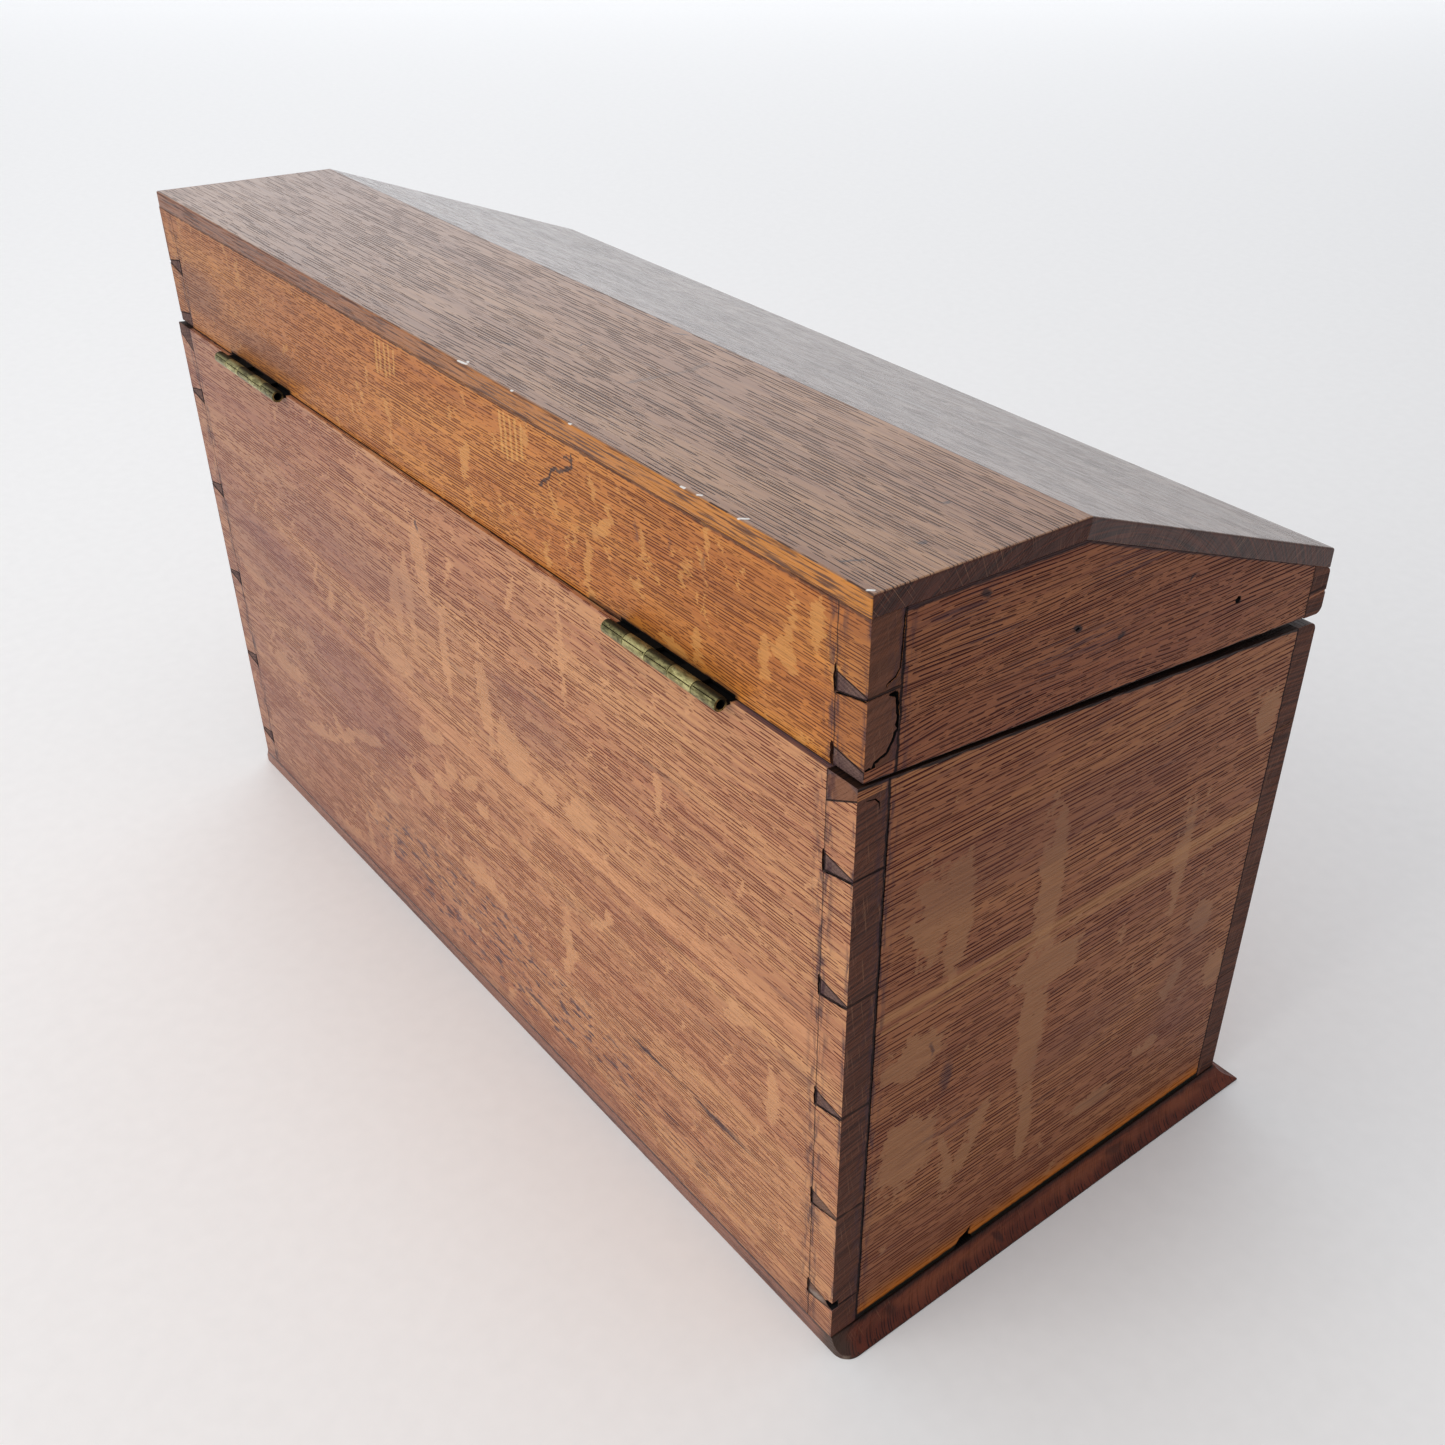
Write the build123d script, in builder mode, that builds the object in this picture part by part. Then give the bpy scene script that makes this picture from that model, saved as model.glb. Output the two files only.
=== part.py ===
from build123d import *
import math
import os

os.makedirs("parts", exist_ok=True)

# An oak stationery box with a sloped lid. X runs along the length, the front faces -Y,
# the hinges are at +Y, and Z is up. The origin is under the middle of the closed box.

# ------------------------------------------------------------------ driving dimensions, mm
# Body: four dovetailed boards on a moulded base board. Heights are above the base board.
body_length = 345.0
body_depth = 157.0
body_back_height = 175.0
body_front_height = 158.0
end_thickness = 9.2
back_thickness = 8.8
front_thickness = 8.0
front_edge_radius = 2.5

# Base board: its nose stands out at the front and ends, and is flush at the back.
base_thickness = 5.5
base_projection = 6.0
base_ledge = 0.5
base_lip = 0.6
base_bulge = 0.9
base_corner_radius = 4.8

# Lid: four dovetailed boards under two thin top boards. The rear edge and the ridge rise from
# the height of the body's back rim, and the nose from the height of its front rim.
lid_setback = 1.4
lid_overhang = 0.7
lid_end_thickness = 9.2
lid_back_thickness = 8.8
rail_thickness = 7.2
rail_edge_radius = 2.0
top_thickness = 5.0
lid_rear_rise = 42.6
ridge_rise = 40.6
nose_rise = 20.6
ridge_inset = 60.1
lid_gap_back = 0.4

# Dovetails: narrow pins on the ends, wide tails on the back and the front.
pin_tip = 0.8
pin_root = 4.7
half_pin_tip = 3.2
half_pin_root = 7.8
body_pin_count = 5
lowest_pin_height = 11.6
back_top_pin_drop = 23.6
front_top_pin_drop = 30.0
lid_half_pin_tip = 2.9
lid_half_pin_root = 4.6
lid_pin_rise = 19.8
rail_pin_tip = 0.8
rail_pin_root = 3.2

# Letter rack: three stepped dividers across the box and one short partition between two of them.
# Their rises are measured from the height of the body's back rim.
divider_thickness = 4.0
housing_depth = 3.0
housing_clearance = 0.1
rear_compartment = 34.0
second_compartment = 32.0
third_compartment = 30.0
rear_divider_rise = 19.0
middle_divider_rise = -1.0
front_divider_rise = -25.0
partition_rise = -13.0
partition_housing = 1.0
shoulder_drop = 3.0
shoulder_clearance = 2.5
shoulder_radius = 14.0
scoop_half_width = 62.0
scoop_depth = 9.0

# Butt hinges: the barrel lies behind the back, level with the joint between body and lid.
hinge_inset = 62.5
hinge_length = 43.0
knuckle_count = 5
knuckle_gap = 0.2
barrel_clearance = 0.8
hinge_pin_radius = 1.0
hinge_pin_running_clearance = 0.05
hinge_pin_recess = 2.5
leaf_thickness = 0.8
leaf_margin = 0.8
leaf_screw_count = 3
leaf_screw_pitch = 14.0

# Screws: countersunk heads with one slot.
hinge_screw_head_radius = 2.0
hinge_screw_shank_radius = 0.9
hinge_screw_length = 11.0
base_screw_head_radius = 3.4
base_screw_shank_radius = 1.6
base_screw_length = 22.0
base_screw_pitch = 50.0
base_screw_rows = 3
plate_screw_head_radius = 1.5
plate_screw_shank_radius = 0.6
plate_screw_length = 7.0
slot_width = 0.5
slot_depth = 0.4

# Box lock, let into the inside of the front board, with a link plate on the lid rail above it.
lock_length = 34.0
lock_height = 19.0
lock_cover_wood = 2.8
lock_inner_projection = 1.6
lock_wall = 0.7
selvedge_thickness = 1.2
selvedge_proud = 0.6
selvedge_overlap = 6.0
selvedge_margin = 0.3
link_plate_thickness = 1.6
link_plate_seat = 0.3
link_plate_length = 34.0
link_offset = 9.0
link_length = 7.5
link_width = 3.2
link_thickness = 2.5
link_eye_width = 1.6
link_eye_height = 3.2
link_clearance = 0.4
bolt_thickness = 1.0
bolt_height = 2.6
bolt_length = 18.0
bolt_travel = 4.5
bolt_clearance = 0.15
keyhole_radius = 1.7
keyhole_slot_width = 1.6
keyhole_slot_length = 4.2
keyhole_drop = 8.5
key_sweep_radius = 3.6
talon_width = 3.6
talon_clearance = 0.2
escutcheon_wall = 1.1
escutcheon_thickness = 1.4

# ------------------------------------------------------------------ derived places
half_length = body_length / 2
floor_z = base_thickness
back_rim_z = floor_z + body_back_height
front_rim_z = floor_z + body_front_height
barrel_radius = hinge_pin_radius + leaf_thickness
barrel_reach = 2 * barrel_radius + barrel_clearance
back_y = (body_depth + base_projection - barrel_reach) / 2
front_y = back_y - body_depth
inner_back_y = back_y - back_thickness
inner_front_y = front_y + front_thickness
inner_half_length = half_length - end_thickness
rim_slope = (body_back_height - body_front_height) / body_depth

lid_back_y = back_y - lid_setback
lid_front_y = front_y - lid_overhang
lid_inner_back_y = lid_back_y - lid_back_thickness
lid_inner_front_y = lid_front_y + rail_thickness
ridge_y = lid_back_y - ridge_inset
ridge_z = back_rim_z + ridge_rise
rear_slope = (lid_rear_rise - ridge_rise) / (lid_back_y - ridge_y)
front_slope = (ridge_z - front_rim_z - nose_rise) / (ridge_y - lid_front_y)
rear_drop = top_thickness / math.cos(math.atan(rear_slope))
front_drop = top_thickness / math.cos(math.atan(front_slope))

lock_front_y = front_y + lock_cover_wood
lock_back_y = inner_front_y + lock_inner_projection
selvedge_front_y = front_y + front_edge_radius + selvedge_margin
link_y = (lock_front_y + lock_back_y) / 2 - bolt_thickness / 2
lid_gap_lock = selvedge_proud + link_plate_thickness + link_plate_seat
gap_slope = (lid_gap_lock - lid_gap_back) / (back_y - link_y)

hinge_y = back_y + barrel_clearance + barrel_radius
hinge_z = back_rim_z + lid_gap_back / 2


def body_rim(y):
    """Height of the body's top edge at depth y."""
    return back_rim_z - (back_y - y) * rim_slope


def lid_rim(y):
    """Height of the lid's bottom edge at depth y: it stands open a little towards the front."""
    return body_rim(y) + lid_gap_back + (back_y - y) * gap_slope


def rear_top(y):
    """Height of the rear top board's outer face."""
    return ridge_z + (y - ridge_y) * rear_slope


def front_top(y):
    """Height of the front top board's outer face."""
    return ridge_z + (y - ridge_y) * front_slope


ridge_under_y = ridge_y + (rear_drop - front_drop) / (rear_slope - front_slope)
ridge_under_z = rear_top(ridge_under_y) - rear_drop
ridge_point = (ridge_y, ridge_z)
ridge_under_point = (ridge_under_y, ridge_under_z)

rim_angle = math.degrees(math.atan(rim_slope))
lid_rim_angle = math.degrees(math.atan(rim_slope - gap_slope))


# ------------------------------------------------------------------ shared shapes
def prism(points, x_start, x_end):
    """A solid with the given YZ outline between two X stations."""
    with BuildPart() as solid:
        with BuildSketch(Plane.YZ.offset(x_start)):
            with BuildLine():
                Polyline(*points, close=True)
            make_face()
        extrude(amount=x_end - x_start)
    return solid.part


def body_strip(y_low, y_high, x_start, x_end, z_low=floor_z):
    """Part of the body between two depths, from z_low up to the sloping rim."""
    outline = [(y_low, z_low), (y_high, z_low), (y_high, body_rim(y_high)), (y_low, body_rim(y_low))]
    return prism(outline, x_start, x_end)


def lid_section(y_low, y_high):
    """The lid's section between two depths, from its rim to the underside of the top boards."""
    upper = []
    for y in (y_high, ridge_under_y, y_low):
        if y_low <= y <= y_high:
            height = rear_top(y) - rear_drop if y >= ridge_under_y else front_top(y) - front_drop
            upper.append((y, height))
    return [(y_low, lid_rim(y_low)), (y_high, lid_rim(y_high))] + upper


def pin_prism(side, outer_z, root_z, y_low, y_high, thickness):
    """A dovetail pin that runs along Y: outer_z and root_z are its (low, high) heights."""
    outer_x = side * half_length
    root_x = side * (half_length - thickness)
    outline = [(root_x, root_z[0]), (outer_x, outer_z[0]), (outer_x, outer_z[1]), (root_x, root_z[1])]
    with BuildPart() as solid:
        with BuildSketch(Plane.XZ.offset(-y_high)):
            with BuildLine():
                Polyline(*outline, close=True)
            make_face()
        extrude(amount=y_high - y_low)
    return solid.part


def pin_at(side, centre, tip, root, y_low, y_high, thickness):
    """A whole pin, centred on a height."""
    outer_z = (centre - tip / 2, centre + tip / 2)
    root_z = (centre - root / 2, centre + root / 2)
    return pin_prism(side, outer_z, root_z, y_low, y_high, thickness)


def body_pins(side):
    """All pins of one body end: five and a half at the back, five at the front."""
    pins = []
    lowest_z = floor_z + lowest_pin_height
    back_pitch = (back_rim_z - back_top_pin_drop - lowest_z) / (body_pin_count - 1)
    front_pitch = (front_rim_z - front_top_pin_drop - lowest_z) / (body_pin_count - 1)
    for index in range(body_pin_count):
        pins.append(pin_at(side, lowest_z + index * back_pitch, pin_tip, pin_root,
                           inner_back_y, back_y, end_thickness))
        pins.append(pin_at(side, lowest_z + index * front_pitch, pin_tip, pin_root,
                           front_y, inner_front_y, end_thickness))
    above = back_rim_z + end_thickness
    outer_z = (back_rim_z - half_pin_tip, above)
    root_z = (back_rim_z - half_pin_root, above)
    pins.append(pin_prism(side, outer_z, root_z, inner_back_y, back_y, end_thickness))
    return pins


def lid_pins(side):
    """All pins of one lid end: one and a half at the back, one in the front rail."""
    below = lid_rim(lid_inner_back_y) - lid_end_thickness
    rim = lid_rim(lid_back_y)
    rail_middle = (lid_rim(lid_front_y) + front_top(lid_front_y) - front_drop) / 2
    whole = pin_at(side, rim + lid_pin_rise, pin_tip, pin_root, lid_inner_back_y, lid_back_y,
                   lid_end_thickness)
    half = pin_prism(side, (below, rim + lid_half_pin_tip), (below, rim + lid_half_pin_root),
                     lid_inner_back_y, lid_back_y, lid_end_thickness)
    fore = pin_at(side, rail_middle, rail_pin_tip, rail_pin_root, lid_front_y, lid_inner_front_y,
                  lid_end_thickness)
    return [whole, half, fore]


def screw_group(planes, head_radius, shank_radius, length):
    """Countersunk wood screws: each plane lies on a head, with its Z pointing out of the wood."""
    head_height = head_radius - shank_radius
    with BuildPart() as screws:
        for plane in planes:
            with BuildSketch(plane.rotated((90, 0, 0))):
                with BuildLine():
                    Polyline((0, 0), (head_radius, 0), (shank_radius, -head_height),
                             (shank_radius, -length), (0, -length - shank_radius), close=True)
                make_face()
            revolve(axis=Axis(plane.origin, plane.z_dir))
    return screws.part


def slotted(screws, planes, head_radius):
    """The same screws with a driver slot across each head."""
    with BuildPart() as finished:
        add(screws)
        for plane in planes:
            with BuildSketch(plane):
                Rectangle(2 * head_radius + slot_width, slot_width)
            extrude(amount=-slot_depth, mode=Mode.SUBTRACT)
    return finished.part


def keyhole(plane, grow, depth):
    """A keyhole-shaped prism: a round bow over a narrow slot, grown by a margin all round."""
    with BuildPart() as solid:
        with BuildSketch(plane):
            Circle(keyhole_radius + grow)
            with Locations((0, -keyhole_slot_length / 2)):
                Rectangle(keyhole_slot_width + 2 * grow, keyhole_slot_length + 2 * grow)
        extrude(amount=depth)
    return solid.part


def save(builder, name):
    """Label a finished piece and write it as its own file."""
    builder.part.label = name
    export_step(builder.part, f"parts/{name}.step")


# ------------------------------------------------------------------ screw places
def rim_plane(x, y, height, angle, up):
    """A plane on a rim at (x, y), tilted with the rim, its Z pointing up or down."""
    plane = Plane(origin=(x, y, height), x_dir=(1, 0, 0), z_dir=(0, 0, 1)).rotated((angle, 0, 0))
    return plane if up else Plane(origin=plane.origin, x_dir=(1, 0, 0), z_dir=-plane.z_dir)


leaf_inner_y = inner_back_y + leaf_margin
leaf_screw_y = (leaf_inner_y + back_y) / 2
lid_leaf_inner_y = lid_inner_back_y + leaf_margin
lid_leaf_screw_y = (lid_leaf_inner_y + lid_back_y) / 2

hinge_centres = {"left": hinge_inset - half_length, "right": half_length - hinge_inset}
leaf_screw_steps = [(index - (leaf_screw_count - 1) / 2) * leaf_screw_pitch
                    for index in range(leaf_screw_count)]

base_screw_steps = [(index - (base_screw_rows - 1) / 2) * base_screw_pitch
                    for index in range(base_screw_rows)]
base_middle_y = (front_y + back_y) / 2
base_screw_planes = [
    Plane(origin=(side * (half_length - end_thickness / 2), base_middle_y + step, 0),
          x_dir=(1, 0, 0), z_dir=(0, 0, -1))
    for side in (-1, 1) for step in base_screw_steps
]
base_screw_solids = screw_group(base_screw_planes, base_screw_head_radius, base_screw_shank_radius,
                                base_screw_length)

hinge_planes = {}
hinge_screw_solids = {}
for side_name, centre_x in hinge_centres.items():
    body_planes = [rim_plane(centre_x + step, leaf_screw_y, body_rim(leaf_screw_y), rim_angle, True)
                   for step in leaf_screw_steps]
    lid_planes = [rim_plane(centre_x + step, lid_leaf_screw_y, lid_rim(lid_leaf_screw_y),
                            lid_rim_angle, False)
                  for step in leaf_screw_steps]
    hinge_planes[side_name] = {"body": body_planes, "lid": lid_planes}
    hinge_screw_solids[side_name] = {
        member: screw_group(planes, hinge_screw_head_radius, hinge_screw_shank_radius, hinge_screw_length)
        for member, planes in hinge_planes[side_name].items()
    }

# ------------------------------------------------------------------ lock places
selvedge_half_length = lock_length / 2 + selvedge_overlap
selvedge_screw_x = lock_length / 2 + selvedge_overlap / 2
selvedge_middle_y = (selvedge_front_y + inner_front_y) / 2
selvedge_top = [(selvedge_front_y, body_rim(selvedge_front_y) + selvedge_proud),
                (lock_back_y, body_rim(lock_back_y) + selvedge_proud)]
lock_top_z = body_rim(link_y)
lock_bottom_z = lock_top_z - lock_height
keyhole_z = lock_top_z - keyhole_drop
link_lean = (hinge_z - (lid_rim(link_y) - link_length / 2)) / (hinge_y - link_y)
eye_drop = link_length - link_eye_height / 2 - (link_width - link_eye_width) / 2
eye_y = link_y + link_lean * eye_drop
eye_z = lid_rim(link_y) - link_plate_thickness - eye_drop
bolt_tip_x = -link_offset + link_thickness / 2 + link_clearance
selvedge_screw_planes = [
    rim_plane(side * selvedge_screw_x, selvedge_middle_y, body_rim(selvedge_middle_y) + selvedge_proud,
              rim_angle, True)
    for side in (-1, 1)
]
link_screw_x = link_plate_length / 2 - plate_screw_head_radius - lock_wall
link_screw_planes = [
    rim_plane(side * link_screw_x, link_y, lid_rim(link_y) - link_plate_thickness, lid_rim_angle, False)
    for side in (-1, 1)
]
lock_screw_solids = screw_group(selvedge_screw_planes, plate_screw_head_radius,
                                plate_screw_shank_radius, plate_screw_length)
link_screw_solids = screw_group(link_screw_planes, plate_screw_head_radius,
                                plate_screw_shank_radius, plate_screw_length)
keyhole_plane = Plane(origin=(0, front_y, keyhole_z), x_dir=(-1, 0, 0), z_dir=(0, 1, 0))

# ------------------------------------------------------------------ base board
base_end_x = half_length + base_projection
base_front_y = front_y - base_projection

with BuildPart() as base_board:
    # The section across the depth: flush at the back, a rounded nose at the front.
    with BuildSketch(Plane.YZ.offset(-base_end_x)):
        with BuildLine():
            SagittaArc((base_front_y, base_lip), (front_y - base_ledge, floor_z), -base_bulge)
            Polyline((front_y - base_ledge, floor_z), (back_y, floor_z), (back_y, 0),
                     (base_front_y, 0), (base_front_y, base_lip))
        make_face()
    extrude(amount=2 * base_end_x)
    # The section along the length has the same nose at both ends, so the front corners mitre.
    with BuildSketch(Plane.XZ.offset(-back_y)):
        with BuildLine():
            SagittaArc((-base_end_x, base_lip), (-half_length - base_ledge, floor_z), -base_bulge)
            SagittaArc((base_end_x, base_lip), (half_length + base_ledge, floor_z), base_bulge)
            Line((-half_length - base_ledge, floor_z), (half_length + base_ledge, floor_z))
            Polyline((base_end_x, base_lip), (base_end_x, 0), (-base_end_x, 0), (-base_end_x, base_lip))
        make_face()
    extrude(amount=back_y - base_front_y, mode=Mode.INTERSECT)
    # In plan the two back corners are rounded through the whole nose.
    with BuildSketch(Plane.XY):
        with Locations((0, base_front_y)):
            Rectangle(2 * base_end_x, back_y - base_front_y, align=(Align.CENTER, Align.MIN))
        fillet(vertices().group_by(Axis.Y)[-1], base_corner_radius)
    extrude(amount=base_thickness, mode=Mode.INTERSECT)
    add(base_screw_solids, mode=Mode.SUBTRACT)
save(base_board, "base_board")

# ------------------------------------------------------------------ body boards
with BuildPart() as body_envelope:
    with BuildSketch(Plane.YZ.offset(-half_length)):
        with BuildLine():
            Polyline((front_y, floor_z), (back_y, floor_z), (back_y, back_rim_z),
                     (front_y, front_rim_z), close=True)
        make_face()
        fillet(vertices().group_by(Axis.X)[0].sort_by(Axis.Y)[-1], front_edge_radius)
    extrude(amount=body_length)

divider_backs = []
divider_edge = inner_back_y
for compartment in (rear_compartment, second_compartment, third_compartment):
    divider_edge -= compartment
    divider_backs.append(divider_edge)
    divider_edge -= divider_thickness


def housing(side, back):
    """The groove for one divider in one end board, open at the rim."""
    inner_x = side * inner_half_length
    root_x = side * (inner_half_length + housing_depth)
    low_y = back - divider_thickness - housing_clearance
    high_y = back + housing_clearance
    return body_strip(low_y, high_y, min(inner_x, root_x), max(inner_x, root_x))


for side_name, side in (("left", -1), ("right", 1)):
    outer_x = side * half_length
    inner_x = side * inner_half_length
    x_range = (min(outer_x, inner_x), max(outer_x, inner_x))
    with BuildPart() as end_board:
        add(body_strip(inner_front_y, inner_back_y, *x_range))
        for pin in body_pins(side):
            add(pin)
        add(body_envelope.part, mode=Mode.INTERSECT)
        for back in divider_backs:
            add(housing(side, back), mode=Mode.SUBTRACT)
        add(base_screw_solids, mode=Mode.SUBTRACT)
    save(end_board, f"{side_name}_end")


def leaf_outline(inner_y, rim, thickness, axis_y):
    """A hinge leaf's section: it lies along a rim, from inner_y out to the barrel's axis."""
    outer_z = rim(back_y)
    return [(inner_y, rim(inner_y)), (back_y, outer_z), (axis_y, outer_z),
            (axis_y, outer_z + thickness), (back_y, outer_z + thickness),
            (inner_y, rim(inner_y) + thickness)]


def leaf_bed(centre_x, inner_y, rim, thickness):
    """The shallow recess in a rim that a leaf lies in."""
    return prism(leaf_outline(inner_y, rim, thickness, hinge_y),
                 centre_x - hinge_length / 2, centre_x + hinge_length / 2)


body_leaf_beds = [leaf_bed(x, leaf_inner_y, body_rim, -leaf_thickness) for x in hinge_centres.values()]
lid_leaf_beds = [leaf_bed(x, lid_leaf_inner_y, lid_rim, leaf_thickness) for x in hinge_centres.values()]

with BuildPart() as back_board:
    add(body_envelope.part)
    add(body_strip(inner_back_y, back_y, -half_length, half_length), mode=Mode.INTERSECT)
    for side in (-1, 1):
        for pin in body_pins(side):
            add(pin, mode=Mode.SUBTRACT)
    for bed in body_leaf_beds:
        add(bed, mode=Mode.SUBTRACT)
    for solids in hinge_screw_solids.values():
        add(solids["body"], mode=Mode.SUBTRACT)
save(back_board, "back_board")

# The lock lies in a pocket cut from the inside of the front board, under a selvedge in its rim.
lock_pocket = body_strip(lock_front_y, lock_back_y, -lock_length / 2, lock_length / 2, lock_bottom_z)
selvedge_outline = selvedge_top + [(lock_back_y, body_rim(lock_back_y) + selvedge_proud - selvedge_thickness),
                                   (selvedge_front_y,
                                    body_rim(selvedge_front_y) + selvedge_proud - selvedge_thickness)]
selvedge = prism(selvedge_outline, -selvedge_half_length, selvedge_half_length)

with BuildPart() as front_board:
    add(body_envelope.part)
    add(body_strip(front_y, inner_front_y, -half_length, half_length), mode=Mode.INTERSECT)
    for side in (-1, 1):
        for pin in body_pins(side):
            add(pin, mode=Mode.SUBTRACT)
    add(lock_pocket, mode=Mode.SUBTRACT)
    add(selvedge, mode=Mode.SUBTRACT)
    add(lock_screw_solids, mode=Mode.SUBTRACT)
    add(keyhole(keyhole_plane, escutcheon_wall, escutcheon_thickness), mode=Mode.SUBTRACT)
    add(keyhole(keyhole_plane, 0, front_thickness), mode=Mode.SUBTRACT)
save(front_board, "front_board")

with BuildPart() as base_screws:
    add(slotted(base_screw_solids, base_screw_planes, base_screw_head_radius))
save(base_screws, "base_screws")

# ------------------------------------------------------------------ letter rack
divider_half_length = inner_half_length + housing_depth - housing_clearance
raised_half_length = inner_half_length - shoulder_clearance
scoop_radius = (scoop_half_width ** 2 + scoop_depth ** 2) / (2 * scoop_depth)
foot = (Align.CENTER, Align.MIN)

partition_front_y = divider_backs[1] - partition_housing
partition_back_y = divider_backs[0] - divider_thickness + partition_housing
partition_top_z = back_rim_z + partition_rise
partition_outline = [(partition_front_y, floor_z), (partition_back_y, floor_z),
                     (partition_back_y, partition_top_z), (partition_front_y, partition_top_z)]
partition_blank = prism(partition_outline, -divider_thickness / 2, divider_thickness / 2)

divider_specs = (("rear_divider", divider_backs[0], rear_divider_rise),
                 ("middle_divider", divider_backs[1], middle_divider_rise),
                 ("front_divider", divider_backs[2], front_divider_rise))

for name, back, rise in divider_specs:
    # Up to its shoulders a divider fills the housings. Above them it is narrower, to clear the lid.
    height = body_back_height + rise
    shoulder_height = body_rim(back - divider_thickness) - shoulder_drop - floor_z
    raised_height = height - shoulder_height
    with BuildPart() as divider:
        with BuildSketch(Plane.XZ.offset(-back)):
            with Locations((0, floor_z)):
                Rectangle(2 * divider_half_length, min(height, shoulder_height), align=foot)
            if raised_height > shoulder_drop:
                with Locations((0, floor_z)):
                    Rectangle(2 * raised_half_length, height, align=foot)
                corner_radius = min(shoulder_radius, raised_height - shoulder_drop)
                with Locations((-raised_half_length, floor_z + height),
                               (raised_half_length, floor_z + height)):
                    Circle(corner_radius, mode=Mode.SUBTRACT)
            with Locations((0, floor_z + height + scoop_radius - scoop_depth)):
                Circle(scoop_radius, mode=Mode.SUBTRACT)
        extrude(amount=divider_thickness)
        add(partition_blank, mode=Mode.SUBTRACT)
    save(divider, name)

with BuildPart() as centre_partition:
    add(partition_blank)
save(centre_partition, "centre_partition")

# ------------------------------------------------------------------ lid boards
lid_full_section = lid_section(lid_front_y, lid_back_y)

for side_name, side in (("left", -1), ("right", 1)):
    outer_x = side * half_length
    inner_x = side * (half_length - lid_end_thickness)
    x_range = (min(outer_x, inner_x), max(outer_x, inner_x))
    with BuildPart() as lid_end:
        add(prism(lid_section(lid_inner_front_y, lid_inner_back_y), *x_range))
        for pin in lid_pins(side):
            add(pin)
        add(prism(lid_full_section, *x_range), mode=Mode.INTERSECT)
    save(lid_end, f"lid_{side_name}_end")

with BuildPart() as lid_back:
    add(prism(lid_section(lid_inner_back_y, lid_back_y), -half_length, half_length))
    for side in (-1, 1):
        for pin in lid_pins(side):
            add(pin, mode=Mode.SUBTRACT)
    for recess in lid_leaf_beds:
        add(recess, mode=Mode.SUBTRACT)
    for solids in hinge_screw_solids.values():
        add(solids["lid"], mode=Mode.SUBTRACT)
save(lid_back, "lid_back")

with BuildPart() as lid_front_rail:
    add(prism(lid_section(lid_front_y, lid_inner_front_y), -half_length, half_length))
    fillet(lid_front_rail.edges().filter_by(Axis.X).group_by(Axis.Y)[0], rail_edge_radius)
    for side in (-1, 1):
        for pin in lid_pins(side):
            add(pin, mode=Mode.SUBTRACT)
    add(link_screw_solids, mode=Mode.SUBTRACT)
save(lid_front_rail, "lid_front_rail")

with BuildPart() as lid_top_rear:
    add(prism([(lid_back_y, rear_top(lid_back_y)), ridge_point, ridge_under_point,
               (lid_back_y, rear_top(lid_back_y) - rear_drop)], -half_length, half_length))
save(lid_top_rear, "lid_top_rear")

with BuildPart() as lid_top_front:
    add(prism([ridge_point, (lid_front_y, front_top(lid_front_y)),
               (lid_front_y, front_top(lid_front_y) - front_drop), ridge_under_point],
              -half_length, half_length))
save(lid_top_front, "lid_top_front")

# ------------------------------------------------------------------ hinges
knuckle_length = (hinge_length - (knuckle_count - 1) * knuckle_gap) / knuckle_count
running_bore_radius = hinge_pin_radius + hinge_pin_running_clearance
barrel_plane = Plane(origin=(0, hinge_y, hinge_z), x_dir=(0, 1, 0), z_dir=(1, 0, 0))


def knuckle_starts(centre_x, first):
    """X stations of every second knuckle, beginning with the first or the second."""
    pitch = knuckle_length + knuckle_gap
    return [centre_x - hinge_length / 2 + index * pitch for index in range(first, knuckle_count, 2)]


def hinge_leaf(centre_x, first, inner_y, rim, thickness, wood_y, bore_radius):
    """One leaf: a plate in its bed, fingers out to the barrel, and every second knuckle."""
    plate_end = [(wood_y, rim(wood_y)), (wood_y, rim(wood_y) + thickness)]
    plate = [(inner_y, rim(inner_y) + thickness), (inner_y, rim(inner_y))] + plate_end
    with BuildPart() as leaf:
        add(prism(plate, centre_x - hinge_length / 2, centre_x + hinge_length / 2))
        for start in knuckle_starts(centre_x, first):
            end = start + knuckle_length
            add(prism(leaf_outline(inner_y, rim, thickness, hinge_y), start, end))
            with BuildSketch(barrel_plane.offset(start)):
                Circle(barrel_radius)
            extrude(amount=knuckle_length)
        with BuildSketch(barrel_plane.offset(centre_x - hinge_length / 2)):
            Circle(bore_radius)
        extrude(amount=hinge_length, mode=Mode.SUBTRACT)
    return leaf.part


for side_name, centre_x in hinge_centres.items():
    planes = hinge_planes[side_name]
    solids = hinge_screw_solids[side_name]
    with BuildPart() as body_leaf:
        add(hinge_leaf(centre_x, 0, leaf_inner_y, body_rim, -leaf_thickness, back_y, hinge_pin_radius))
        add(solids["body"], mode=Mode.SUBTRACT)
    save(body_leaf, f"hinge_{side_name}_body_leaf")

    with BuildPart() as lid_leaf:
        add(hinge_leaf(centre_x, 1, lid_leaf_inner_y, lid_rim, leaf_thickness, lid_back_y,
                       running_bore_radius))
        add(solids["lid"], mode=Mode.SUBTRACT)
    save(lid_leaf, f"hinge_{side_name}_lid_leaf")

    with BuildPart() as hinge_pin:
        with BuildSketch(barrel_plane.offset(centre_x - hinge_length / 2 + hinge_pin_recess)):
            Circle(hinge_pin_radius)
        extrude(amount=hinge_length - 2 * hinge_pin_recess)
    save(hinge_pin, f"hinge_{side_name}_pin")

    for member in ("body", "lid"):
        with BuildPart() as leaf_screws:
            add(slotted(solids[member], planes[member], hinge_screw_head_radius))
        save(leaf_screws, f"hinge_{side_name}_{member}_screws")

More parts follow.
